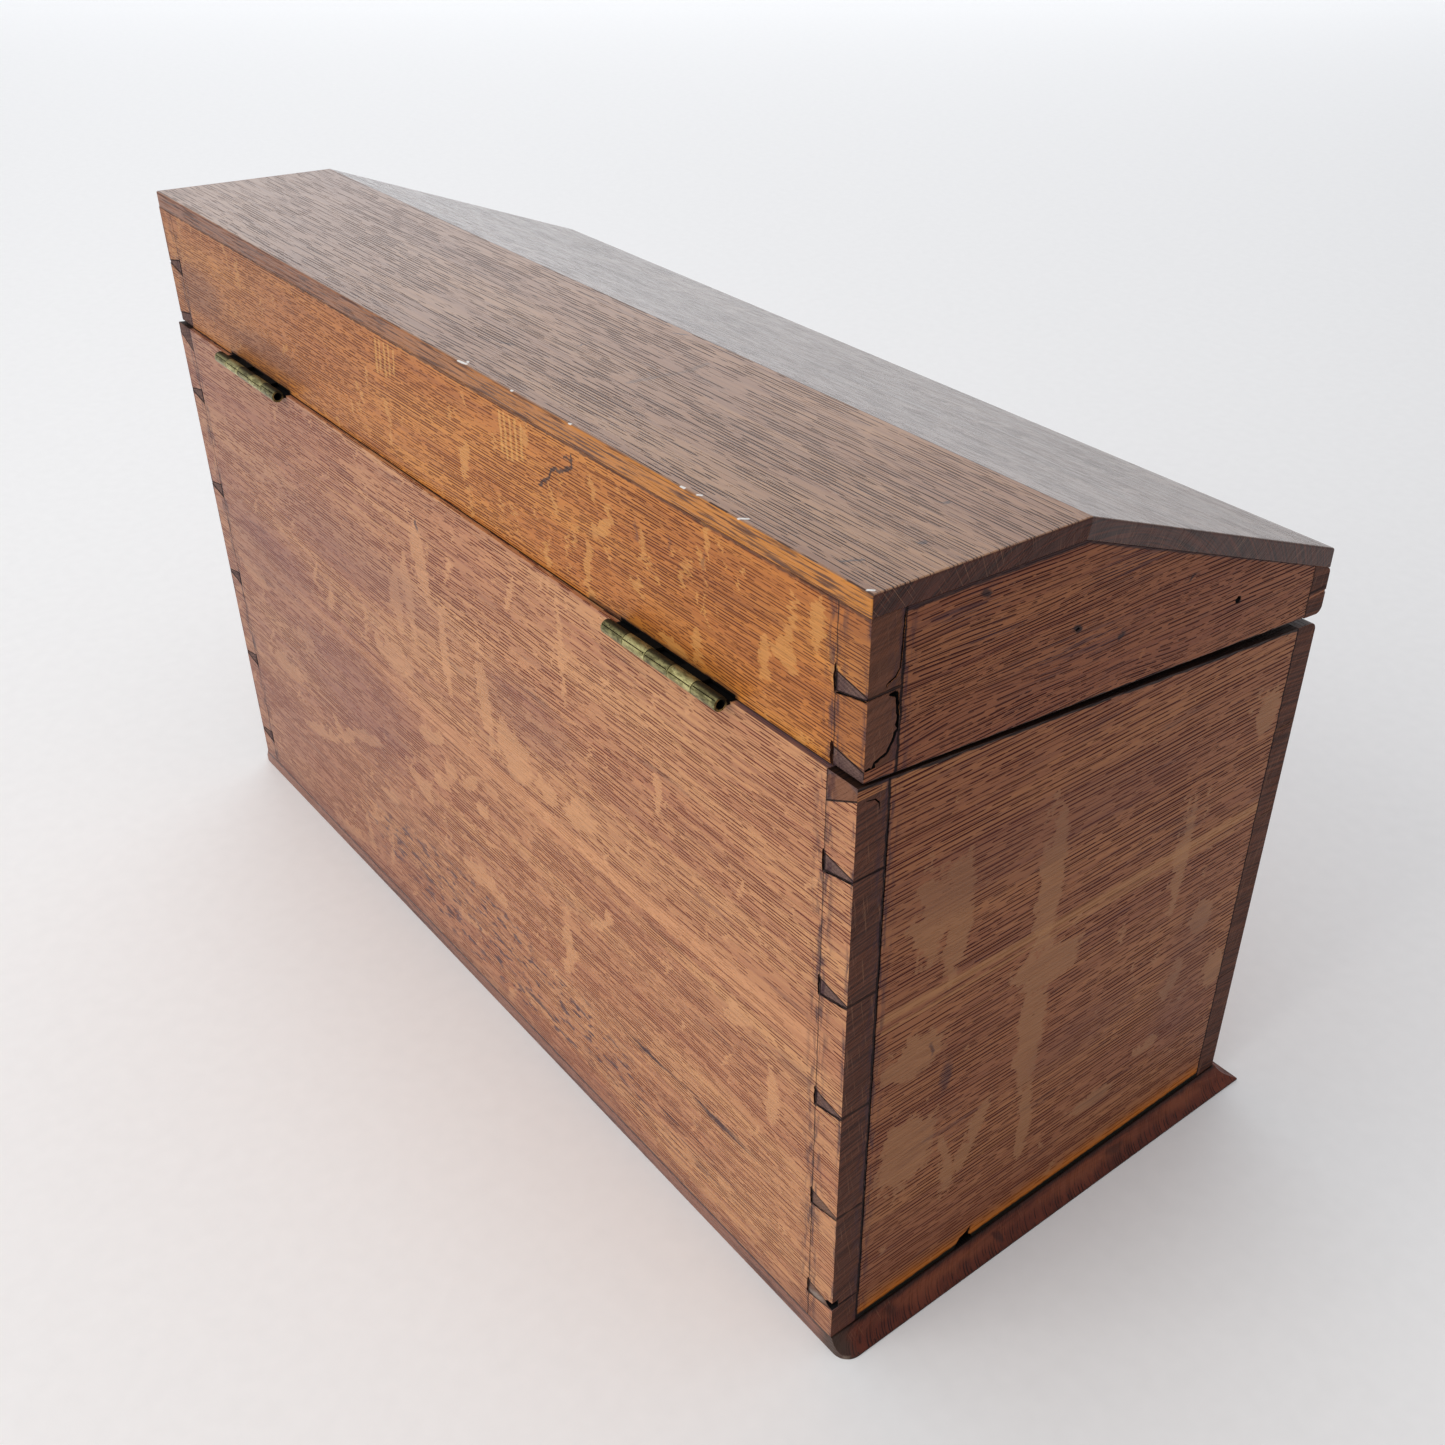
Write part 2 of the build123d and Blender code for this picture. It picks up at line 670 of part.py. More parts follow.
# ------------------------------------------------------------------ lock
bolt_y = (eye_y - bolt_thickness / 2, eye_y + bolt_thickness / 2)
bolt_z = (eye_z - bolt_height / 2, eye_z + bolt_height / 2)
bolt_end_x = bolt_tip_x + bolt_length
link_half_width = link_width / 2
link_bottom_z = lid_rim(link_y) - link_plate_thickness - link_length


def link_section(margin):
    """The link's leaning section in (y, z), grown sideways and downwards by a margin."""
    top_z = lid_rim(link_y) - link_plate_thickness / 2
    reach = top_z - link_bottom_z
    foot_y = link_y + link_lean * reach
    half = link_half_width + margin
    return [(link_y - half, top_z), (link_y + half, top_z),
            (foot_y + half, link_bottom_z - margin), (foot_y - half, link_bottom_z - margin)]


def bolt_box(margin, x_start, x_end):
    """The bolt's bar between two stations, grown by a margin in Y and Z."""
    return prism([(bolt_y[0] - margin, bolt_z[0] - margin), (bolt_y[1] + margin, bolt_z[0] - margin),
                  (bolt_y[1] + margin, bolt_z[1] + margin), (bolt_y[0] - margin, bolt_z[1] + margin)],
                 x_start, x_end)


def key_sweep(radius, y_start, y_end):
    """The round space that the key's bit turns in, or the talon that it turns into."""
    with BuildPart() as sweep:
        with BuildSketch(Plane(origin=(0, y_start, keyhole_z), x_dir=(-1, 0, 0), z_dir=(0, 1, 0))):
            Circle(radius)
        extrude(amount=y_end - y_start)
    return sweep.part


# The case is open at the rear, where the cap closes it.
cap_front_y = lock_back_y - lock_wall
with BuildPart() as lock_case:
    add(body_strip(lock_front_y, cap_front_y, -lock_length / 2, lock_length / 2, lock_bottom_z))
    add(selvedge)
    add(prism(link_section(link_clearance), -link_offset - link_thickness / 2 - link_clearance,
              -link_offset + link_thickness / 2 + link_clearance), mode=Mode.SUBTRACT)
    add(bolt_box(bolt_clearance, bolt_tip_x - bolt_travel - link_clearance, bolt_end_x + link_clearance),
        mode=Mode.SUBTRACT)
    add(keyhole(keyhole_plane, 0, lock_back_y - front_y), mode=Mode.SUBTRACT)
    add(key_sweep(key_sweep_radius, bolt_y[0] - bolt_clearance, cap_front_y), mode=Mode.SUBTRACT)
    add(lock_screw_solids, mode=Mode.SUBTRACT)
save(lock_case, "lock_case")

with BuildPart() as lock_cap:
    add(body_strip(cap_front_y, lock_back_y, -lock_length / 2, lock_length / 2, lock_bottom_z))
    add(selvedge, mode=Mode.SUBTRACT)
save(lock_cap, "lock_cap")

with BuildPart() as lock_bolt:
    add(bolt_box(0, bolt_tip_x, bolt_end_x))
    # The talon: at rest the notch lies over the keyhole, so that the bit finds it.
    with BuildSketch(Plane.XZ.offset(-bolt_y[1])):
        with Locations((0, bolt_z[0])):
            Rectangle(talon_width, 2 * (keyhole_z + key_sweep_radius + talon_clearance - bolt_z[0]))
    extrude(amount=bolt_thickness, mode=Mode.SUBTRACT)
save(lock_bolt, "lock_bolt")

with BuildPart() as link_plate:
    add(prism([(lid_inner_front_y, lid_rim(lid_inner_front_y)),
               (lid_inner_front_y, lid_rim(lid_inner_front_y) - link_plate_thickness),
               (selvedge_front_y, lid_rim(selvedge_front_y) - link_plate_thickness),
               (selvedge_front_y, lid_rim(selvedge_front_y))],
              -link_plate_length / 2, link_plate_length / 2))
    add(prism(link_section(0), -link_offset - link_thickness / 2, -link_offset + link_thickness / 2))
    with BuildSketch(Plane(origin=(-link_offset - link_thickness, eye_y, eye_z),
                           x_dir=(0, 1, 0), z_dir=(1, 0, 0))):
        Rectangle(link_eye_width, link_eye_height)
    extrude(amount=2 * link_thickness, mode=Mode.SUBTRACT)
    add(link_screw_solids, mode=Mode.SUBTRACT)
save(link_plate, "lock_link_plate")

with BuildPart() as escutcheon:
    add(keyhole(keyhole_plane, escutcheon_wall, escutcheon_thickness))
    add(keyhole(keyhole_plane, 0, escutcheon_thickness), mode=Mode.SUBTRACT)
save(escutcheon, "escutcheon")

with BuildPart() as lock_screws:
    add(slotted(lock_screw_solids, selvedge_screw_planes, plate_screw_head_radius))
save(lock_screws, "lock_screws")

with BuildPart() as link_screws:
    add(slotted(link_screw_solids, link_screw_planes, plate_screw_head_radius))
save(link_screws, "lock_link_screws")
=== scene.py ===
import math
import random
from functools import reduce

import bmesh
import bpy
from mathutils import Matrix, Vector
from mathutils.bvhtree import BVHTree


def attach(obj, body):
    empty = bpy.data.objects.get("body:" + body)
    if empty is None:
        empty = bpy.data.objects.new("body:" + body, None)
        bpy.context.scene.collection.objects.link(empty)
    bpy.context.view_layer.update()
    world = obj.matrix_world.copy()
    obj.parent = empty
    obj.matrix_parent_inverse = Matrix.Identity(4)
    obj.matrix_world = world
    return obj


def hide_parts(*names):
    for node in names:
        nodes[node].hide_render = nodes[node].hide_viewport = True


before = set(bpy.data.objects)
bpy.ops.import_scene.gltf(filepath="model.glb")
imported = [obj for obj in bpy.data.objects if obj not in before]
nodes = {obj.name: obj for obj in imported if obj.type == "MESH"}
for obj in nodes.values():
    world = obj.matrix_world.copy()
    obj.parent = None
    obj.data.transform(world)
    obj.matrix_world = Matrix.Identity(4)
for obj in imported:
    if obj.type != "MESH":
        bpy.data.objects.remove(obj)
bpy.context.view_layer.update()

MM = 0.001

# Places on the box, in millimetres in the shared frame: x runs along the box, y to its back and z up.
half_length = 172.5
inner_half_length = 163.3
back_y = 79.30
inner_back_y = 70.50
inner_front_y = -69.70
back_rim_z = 180.5
rim_slope = 0.10828
lid_gap_back = 0.4
lid_gap_slope = 0.01388
lid_back_y = 77.90
lid_inner_back_y = 69.10
lid_inner_front_y = -71.20
hinge_y = 81.90
hinge_z = 180.7
hinge_centre_x = 110.0
hinge_length = 43.0
knuckle_pitch = 8.64
barrel_radius = 1.8

# The dovetails: the heights of the pins' middles, a pin's width at its tip and root, and the half pins at the
# rims, at their tips and roots. The zones are the heights between which the corners' cracks are dark.
body_back_pins = [17.1, 52.05, 87.0, 121.95, 156.9]
body_front_pins = [17.1, 46.2, 75.3, 104.4, 133.5]
lid_pins = [200.57]
rail_pins = [173.8]
pin_tip = 0.8
pin_root = 4.7
body_half_pin = (177.3, 172.7)
lid_half_pin = (183.67, 185.37)
body_joint_zone = (0.0, 179.4)
lid_joint_zone = (182.0, 217.2)


# ---------------------------------------------------------------- node trees


class Term:
    """A number in a material's node tree; arithmetic on it adds Math nodes."""

    def __init__(self, net, socket):
        self.net = net
        self.socket = socket

    def __add__(self, other):
        return self.net.math("ADD", self, other)

    def __sub__(self, other):
        return self.net.math("SUBTRACT", self, other)

    def __rsub__(self, other):
        return self.net.math("SUBTRACT", other, self)

    def __mul__(self, other):
        return self.net.math("MULTIPLY", self, other)

    def __truediv__(self, other):
        return self.net.math("DIVIDE", self, other)

    __radd__ = __add__
    __rmul__ = __mul__


def linear(colour):
    """An sRGB colour, 0 to 255, as the linear RGBA that sockets take."""
    shares = [c / 255 for c in colour]
    return [c / 12.92 if c <= 0.04045 else ((c + 0.055) / 1.055) ** 2.4 for c in shares] + [1.0]


class Net:
    """The node tree of one material."""

    def __init__(self, name):
        self.material = bpy.data.materials.new(name)
        self.material.use_nodes = True
        self.tree = self.material.node_tree
        self.tree.nodes.clear()
        place = self.node("ShaderNodeTexCoord")
        self.x, self.y, self.z = [part / MM for part in self.split(place.outputs["Object"])]
        self.facing = self.split(place.outputs["Normal"])

    def node(self, kind, inputs=None, **settings):
        """A new node, with its sockets by name or number and its settings."""
        made = self.tree.nodes.new(kind)
        for key, value in settings.items():
            setattr(made, key, value)
        for key, value in (inputs or {}).items():
            self.put(made.inputs[key], value)
        return made

    def put(self, socket, value):
        if isinstance(value, Term):
            self.tree.links.new(value.socket, socket)
        elif isinstance(value, bpy.types.NodeSocket):
            self.tree.links.new(value, socket)
        else:
            socket.default_value = value

    def math(self, operation, a, b=None):
        made = self.node("ShaderNodeMath", {0: a} if b is None else {0: a, 1: b}, operation=operation)
        return Term(self, made.outputs[0])

    def both(self, a, b):
        return self.math("MINIMUM", a, b)

    def either(self, a, b):
        return self.math("MAXIMUM", a, b)

    def size(self, a):
        return self.math("ABSOLUTE", a)

    def nearest(self, distances):
        return reduce(self.both, distances)

    def plane(self, axes):
        """The two coordinates that axes names, such as "xz"."""
        return [getattr(self, axis) for axis in axes]

    def rise(self, value, low, high, most=1.0):
        """0 below low, most above high, with a smooth step between; low may be above high."""
        sockets = {"Value": value, "From Min": low, "From Max": high, "To Max": most}
        made = self.node("ShaderNodeMapRange", sockets, interpolation_type="SMOOTHSTEP", clamp=False)
        return Term(self, made.outputs[0])

    def within(self, value, low, high, edge):
        """1 between two values, gone at an edge's width beyond them."""
        half = (high - low) / 2
        return self.rise(self.size(value - (low + high) / 2), half + edge, half)

    def faces(self, axis, sign=0):
        """1 on surfaces that face along an axis, 0 to 2: one way for a sign of 1 or -1, or both ways."""
        toward = self.facing[axis]
        if sign == 0:
            toward = self.size(toward)
        elif sign < 0:
            toward = toward * sign
        return self.rise(toward, 0.5, 0.8)

    def only_on(self, facing, share):
        """A share kept on surfaces that face (axis, sign), or on all for None."""
        return share if facing is None else share * self.faces(*facing)

    def vector(self, x, y, z):
        return self.node("ShaderNodeCombineXYZ", {0: x, 1: y, 2: z}).outputs[0]

    def noise(self, x, y, z, detail=2.0, roughness=0.5, distortion=0.0):
        """Noise with features about 1 across, so that x / 5 makes them 5 mm long."""
        sockets = {"Vector": self.vector(x, y, z), "Scale": 1.0, "Detail": detail, "Roughness": roughness,
                   "Distortion": distortion}
        return Term(self, self.node("ShaderNodeTexNoise", sockets).outputs["Fac"])

    def cloud(self, size_x, size_y, size_z, **values):
        """Noise over the whole part, with its features' size along x, y and z in millimetres."""
        return self.noise(self.x / size_x, self.y / size_y, self.z / size_z, **values)

    def cells(self, x, y, z):
        """Distance to the nearest scattered point, and that point's own random number."""
        sockets = {"Vector": self.vector(x, y, z), "Scale": 1.0, "Randomness": 1.0}
        made = self.node("ShaderNodeTexVoronoi", sockets)
        parts = self.node("ShaderNodeSeparateColor", {0: made.outputs["Color"]})
        return Term(self, made.outputs["Distance"]), Term(self, parts.outputs[0])

    def blend(self, share, a, b):
        """Colour a where share is 0 and b where it is 1."""
        a, b = (linear(value) if isinstance(value, tuple) else value for value in (a, b))
        return self.node("ShaderNodeMix", {"Factor": share, 6: a, 7: b}, data_type="RGBA").outputs[2]

    def ellipse(self, spot, centre, half_size, tilt=0.0):
        """Distance of a spot from an ellipse's middle, 1 on its edge."""
        sockets = {"Vector": spot, "Location": (*centre, 0.0), "Rotation": (0.0, 0.0, math.radians(tilt)),
                   "Scale": (*half_size, 1.0)}
        return self.length(self.node("ShaderNodeMapping", sockets, vector_type="TEXTURE").outputs[0])

    def length(self, vector):
        return Term(self, self.node("ShaderNodeVectorMath", {0: vector}, operation="LENGTH").outputs["Value"])

    def nearest_patch(self, spot, patches):
        """Distance to the nearest of several ellipses: (u, v, half width, half height, degrees of tilt)."""
        return self.nearest(self.ellipse(spot, patch[:2], patch[2:4], *patch[4:]) for patch in patches)

    def capsule(self, spot, start, stop):
        """Distance of a spot from a straight line between two points."""
        run = Vector(stop) - Vector(start)
        middle = (Vector(start) + Vector(stop)) / 2
        turn = math.atan2(run.y, run.x)
        sockets = {"Vector": spot, "Location": (*middle, 0.0), "Rotation": (0.0, 0.0, turn)}
        made = self.node("ShaderNodeMapping", sockets, vector_type="TEXTURE")
        along, aside = self.split(made.outputs[0])[:2]
        return self.length(self.vector(self.either(self.size(along) - run.length / 2, 0.0), aside, 0.0))

    def split(self, vector):
        return [Term(self, out) for out in self.node("ShaderNodeSeparateXYZ", {0: vector}).outputs]

    def shade(self, colour, strength):
        """Colour made lighter or darker by a number."""
        return self.node("ShaderNodeHueSaturation", {"Color": colour, "Value": strength}).outputs["Color"]

    def finish(self, colour, roughness, height, relief, **shader_values):
        """The surface shader, with its bump; relief is the bump's depth in millimetres."""
        bump = self.node("ShaderNodeBump", {"Distance": relief * MM, "Height": height})
        sockets = {"Base Color": colour, "Roughness": roughness, "Normal": bump.outputs[0]}
        sockets.update({label.replace("_", " "): value for label, value in shader_values.items()})
        shader = self.node("ShaderNodeBsdfPrincipled", sockets)
        self.node("ShaderNodeOutputMaterial", {"Surface": shader.outputs[0]})
        return self.material


# ---------------------------------------------------------------- oak

plum = (58, 34, 44)
grime = (26, 16, 18)
# Painted shade inside cracks, holes and chips.
hole_shade_black = (10, 7, 8)
end_ray = (150, 106, 78)
plain_ends = ((58, 27, 17), (102, 57, 38))
oak_relief = 0.22
coat_roughness = 0.24


def dashes(net, along, lane, through, pitch, thickest, rarity, crowding, stride=4.6, dash_edge=0.035):
    """Pores: tapered dashes in rows along the grain, a growth line apart."""
    count = lane / pitch
    row = net.math("FLOOR", count)
    jitter = net.noise(row * 3.31, along / 60, 4.0, detail=0) - 0.5
    off = net.size(count - row - 0.5 + jitter * 0.7) * pitch
    length = net.noise(along / stride, row * 5.73, through / 7, detail=1.5)
    half = net.both((length + crowding * 0.3 - 0.15 - rarity) * 3.0, thickest)
    return net.rise(off, half + dash_edge, half - dash_edge)


def oak(name, grain, tones, seed, flat=False, ray=0.5, ray_tilt=0.0, fleck_tone=None, pore=1.0, dense=0.0,
        long=1.0, wave=6.0, stain=0.0, gloss=0.34, sheen=0.28, coat=0.0, heart=(0.0, -400.0),
        end_pair=plain_ends, ray_share=0.3, flecks=None, marks=()):
    """Quarter-sawn oak: growth lines, pores, pale ray flecks, stains and end grain, and the board's marks.

    The grain runs along x or y, and flat is for boards that lie down. The tones are pale, plain and deep wood
    and the pores. Ray sets how many flecks there are, and pore, dense and long the pores' size, number and
    length; wave is how far the growth lines wander and stain how dark the stains are. The heart is where the
    middle of the tree lay, aside and above, for the rings on the end grain. Noises are sized in millimetres,
    and the seed starts each board at another place in them.
    """
    pale, plain, deep, pore_colour = tones
    net = Net(name)
    x, y, z = net.x, net.y, net.z
    if grain == "x":
        along, across, through = (x, y, z) if flat else (x, z, y)
        across_end, up_end = y, z
        end = net.size(net.facing[0])
    else:
        along, across, through = y, z, x
        across_end, up_end = x, z
        end = net.size(net.facing[1])
    along = along + seed * 37.0
    across = across + seed * 11.0
    end = net.rise(end, 0.55, 0.8)

    wander = net.noise(along / 130, across / 34, through / 30, detail=2) - 0.5
    lane = across + through + wander * wave
    broad = net.noise(along / 90, lane / 13, through / 30, detail=3)
    ring = net.noise(along / 150, lane / 1.5, through / 6, detail=1.5, roughness=0.5)
    fibre = net.noise(along / 12, across / 0.35, through / 0.35, detail=2)
    streak = net.noise(along / 15.0, lane / 0.5, through / 1.2, detail=1.5, roughness=0.6)

    # Ray flecks: smooth pale ribbons across the grain, with edges that step along the growth lines.
    ragged = net.noise(along / 16, across / 0.8, through / 4, detail=1) - 0.5
    slanted = along + across * ray_tilt + ragged * 6
    fleck = net.noise(slanted / 5.0, across / 15, through / 9, detail=2, roughness=0.55, distortion=0.3)
    fleck_level = 0.72 - 0.17 * ray
    rays = net.rise(fleck, fleck_level, fleck_level + 0.025)
    net.kept = dict(ragged=ragged, streak=streak)
    if flecks:
        rays = ray_patches(net, rays, *flecks)

    # Two sets of pores, coarse ones and finer ones between them.
    crowding = net.noise(along / 30, lane / 9, through / 9, detail=2)
    run = along / long
    coarse = dashes(net, run, lane, through, 1.05 * pore, 0.155 * pore, 0.475 - dense, crowding)
    fine = dashes(net, run + 500, lane + 0.7, through, 0.85 * pore, 0.09 * pore, 0.49 - dense, crowding)
    open_pores = net.either(coarse * (crowding * 0.9 + 0.5), fine * 0.6)
    pores = open_pores * (1.0 - rays * 0.88)

    colour = net.blend(net.rise(broad, 0.30, 0.70), pale, plain)
    colour = net.blend(net.rise(ring, 0.40, 0.70, 0.5), colour, deep)
    colour = net.blend(rays * (streak * 0.9 + 0.32), colour, fleck_tone or pale)
    colour = net.blend(pores * 0.96, colour, pore_colour)
    colour = net.shade(colour, fibre * 0.4 + 0.8)

    if stain:
        dark = net.noise(along / 34 + 9.0, lane / 4.5, through / 9, detail=3, roughness=0.62)
        colour = net.blend(net.rise(dark, 0.58, 0.74, stain), colour, plum)

    # End grain: rings as arcs about the tree's heart, rays as fine paler lines out from it, pores as dots.
    aside, above = across_end - heart[0], up_end - heart[1]
    radius = net.math("SQRT", aside * aside + above * above)
    angle = net.math("ARCTAN2", aside, above)
    far_radius = math.hypot(*heart) + 60.0
    ring_width, ray_width = 0.55, 0.5
    ring_lines = net.noise(radius / ring_width, angle * 4, 1.0, detail=2)
    ray_lines = net.noise(angle * (far_radius / ray_width), radius / 14, 2.0, detail=1.5)
    dots, dot_chance = net.cells(along / 0.5, across / 0.5, through / 0.5)
    end_tone = net.blend(net.rise(ring_lines, 0.3, 0.7), end_pair[1], end_pair[0])
    end_tone = net.blend(net.rise(ray_lines, 0.60, 0.72, ray_share), end_tone, end_ray)
    end_tone = net.blend(net.rise(dots, 0.34, 0.16, 0.5) * net.rise(dot_chance, 0.3, 0.5), end_tone, grime)
    colour = net.blend(end, colour, end_tone)

    height = fibre * 0.15 - open_pores * 0.5
    roughness = gloss + pores * 0.25 + end * 0.30 + fibre * 0.08
    for mark in marks:
        colour, roughness = mark(net, colour, roughness)
    return net.finish(colour, roughness, height, oak_relief, Specular_IOR_Level=sheen, Coat_Weight=coat,
                      Coat_Roughness=coat_roughness)


# ---------------------------------------------------------------- marks on the boards


def ray_patches(net, rays, axes, patches, ragged_by=5.0):
    """The ray flecks with listed ones added, as ellipses in millimetres."""
    u, v = net.plane(axes)
    frayed = net.noise(u / 5.0, v / 6.5, 3.0, detail=3.5, roughness=0.62) - 0.5
    spot = net.vector(u + net.kept["ragged"] * ragged_by + frayed * 7.0, v + frayed * 6.0, 0.0)
    edge = net.nearest_patch(spot, patches) + net.kept["streak"] * 0.8 + frayed * 1.9
    return net.either(rays, net.rise(edge, 1.44, 1.32))


def marking(function):
    """Lets a function of the net, surface, roughness and more values give the mark for those values."""
    def with_values(*values, **named_values):
        return lambda net, surface, roughness: function(net, surface, roughness, *values, **named_values)
    return with_values


@marking
def tint_patches(net, surface, roughness, axes, patches, colour, most, soft=0.6, streaky=0.0, facing=None):
    """Listed tints, as ellipses with soft edges: stains and pale streaks, and painted shade at the base's
    bottom edge.
    """
    u, v = net.plane(axes)
    frayed = net.noise(u / 4, v / 3, 7.0, detail=3) - 0.5
    spot = net.vector(u + frayed * 5.0, v + frayed * 3.0, 0.0)
    share = net.rise(net.nearest_patch(spot, patches), 1.0 + soft / 2, 1.0 - soft, most)
    if streaky:
        share = share * net.rise(net.kept["streak"], 0.62 - streaky / 2, 0.70 - streaky / 2)
    return net.blend(net.only_on(facing, share), surface, colour), roughness


@marking
def blotches(net, surface, roughness, axes, zone, grain_size, colour, most):
    """Scattered dark stains along the grain inside an ellipse: its middle and half sizes."""
    u, v = net.plane(axes)
    away = net.ellipse(net.vector(u, v, 0.0), zone[:2], zone[2:])
    spots = net.noise(u / grain_size[0], v / grain_size[1], 11.0, detail=2.5, roughness=0.6)
    share = net.rise(spots, 0.53, 0.62, most) * net.rise(away, 1.1, 0.75)
    share = share * net.rise(net.kept["streak"], 0.32, 0.48)
    return net.blend(share, surface, colour), roughness


@marking
def lines(net, surface, roughness, axes, runs, half_width, colour, most, soft, waver=0.8, facing=None):
    """Lines through points in millimetres: cracks, streaks and scratches, and painted shade in gaps and
    holes.
    """
    u, v = net.plane(axes)
    sway = net.noise(u / 2.5, v / 2.5, 5.0, detail=2) - 0.5
    spot = net.vector(u + sway * waver, v + sway * waver, 0.0)
    away = net.nearest(net.capsule(spot, start, stop) for run in runs for start, stop in zip(run, run[1:]))
    share = net.rise(away, half_width * (1 + soft), half_width * (1 - soft), most)
    return net.blend(net.only_on(facing, share), surface, colour), roughness


@marking
def shelf_tint(net, surface, roughness, axis, start, stop, colour, most, facing=None, ragged=1.5):
    """A tint that fades along one axis, full at start and gone at stop; at the base's bottom edge it is
    painted shade.
    """
    place = getattr(net, axis)
    frayed = net.cloud(5, 5, 5, detail=3) - 0.5
    share = net.rise(place + frayed * ragged, stop, start, most)
    return net.blend(net.only_on(facing, share), surface, colour), roughness


@marking
def far_end_shade_and_haze(net, surface, roughness, start, stop, colour, most):
    """Painted shade and reflection haze: the end of the box that stood away from the light, duller and
    pinker.
    """
    uneven = net.cloud(60, 60, 30, detail=2) - 0.5
    return net.blend(net.rise(net.x + uneven * 90, start, stop, most), surface, colour), roughness


@marking
def edge_strip(net, surface, roughness, axis, sign, tone, far_tone, dark):
    """A long-grain edge of its own colour, with dark streaks along it."""
    on_edge = net.faces(axis, sign)
    seams = net.noise(net.x / 14, net.z / 0.55, 9.0, detail=3, roughness=0.6)
    smudges = net.noise(net.x / 22, net.z / 2.5, 4.0, detail=4, roughness=0.65)
    strip = net.blend(net.rise(net.x + smudges * 60, -120, 120), tone, far_tone)
    strip = net.blend(net.rise(seams, 0.48, 0.60, 0.85), strip, dark)
    strip = net.blend(net.rise(smudges, 0.54, 0.66, 0.7), strip, dark)
    return net.blend(on_edge, surface, strip), roughness


@marking
def rim(net, surface, roughness, colour=(30, 15, 15), most=0.92, covered_to=None):
    """The dark rim under the lid: dirt and painted shade of the gap it is seen through; covered_to is the
    depth where the lid stops covering it.
    """
    up = net.rise(net.size(net.facing[2]), 0.75, 0.95, most)
    if covered_to:
        up = up * net.rise(net.y, covered_to + 0.15, covered_to - 0.05)
    rub = net.cloud(9, 9, 9, detail=3)
    return net.blend(up * net.rise(rub, 0.0, 0.30), surface, colour), roughness + up * 0.15


@marking
def gap_dirt_and_shade(net, surface, roughness, level, slope, above, reach):
    """Dirt and painted shade along the edge where lid and body part; above is 1 on the lid and -1 on the
    body.
    """
    away = (net.z - (level - (back_y - net.y) * slope)) * above
    rough_edge = net.cloud(6, 6, 2, detail=3) - 0.5
    dirt = net.rise(away + rough_edge * 1.2, reach, reach * 0.55, 0.95)
    return net.blend(dirt * net.faces(0), surface, grime), roughness + dirt * 0.1


@marking
def hinge_shadow(net, surface, roughness, low_z, high_z):
    """Painted shadow: near-black wood behind and beside the hinge barrels, in the gap between barrel and lid.
    """
    along_hinge = net.size(net.size(net.x) - hinge_centre_x)
    beside = net.rise(along_hinge, hinge_length / 2 + 0.6, hinge_length / 2 + 0.1)
    level = net.rise(net.z, low_z - 0.3, low_z) * net.rise(net.z, high_z + 0.5, high_z)
    turned_away = net.rise(net.facing[1], 0.6, 0.3)
    deep_in = net.rise(net.y, lid_back_y - 0.3, lid_back_y - 0.8)
    hidden = net.either(turned_away, deep_in)
    return net.blend(beside * level * hidden, surface, (8, 6, 6)), roughness


@marking
def joint_crack_shade(net, surface, roughness, board_back_y, board_inner_y, zone):
    """Painted shade: black inside the cracks and holes of the corner joints."""
    reach_x = net.size(net.x)
    sunk = net.rise(net.both(0 - reach_x + half_length, 0 - net.y + board_back_y), 0.07, 0.20)
    corner = net.rise(reach_x, inner_half_length - 0.8, inner_half_length - 0.6)
    corner = corner * net.rise(net.y, board_inner_y - 0.9, board_inner_y - 0.7)
    corner = corner * net.within(net.z, *zone, 0.2)
    return net.blend(sunk * corner, surface, hole_shade_black), roughness + sunk * corner * 0.4


@marking
def pits(net, surface, roughness, boxes):
    """Painted shade: black inside the chips and holes of an end board; each box is its lowest and highest y
    and z.
    """
    sunk = net.rise(0 - net.size(net.x) + half_length, 0.15, 0.30)
    spots = (net.within(net.y, *box[:2], 0.1) * net.within(net.z, *box[2:], 0.1) for box in boxes)
    return net.blend(sunk * reduce(net.either, spots), surface, hole_shade_black), roughness


def line_across(net, distance, half_width):
    return net.rise(net.size(distance), half_width * 1.4, half_width * 0.6)


def nearest_of(net, value, centres):
    """Distance to the nearest of several heights."""
    return net.nearest(net.size(value - centre) for centre in centres)


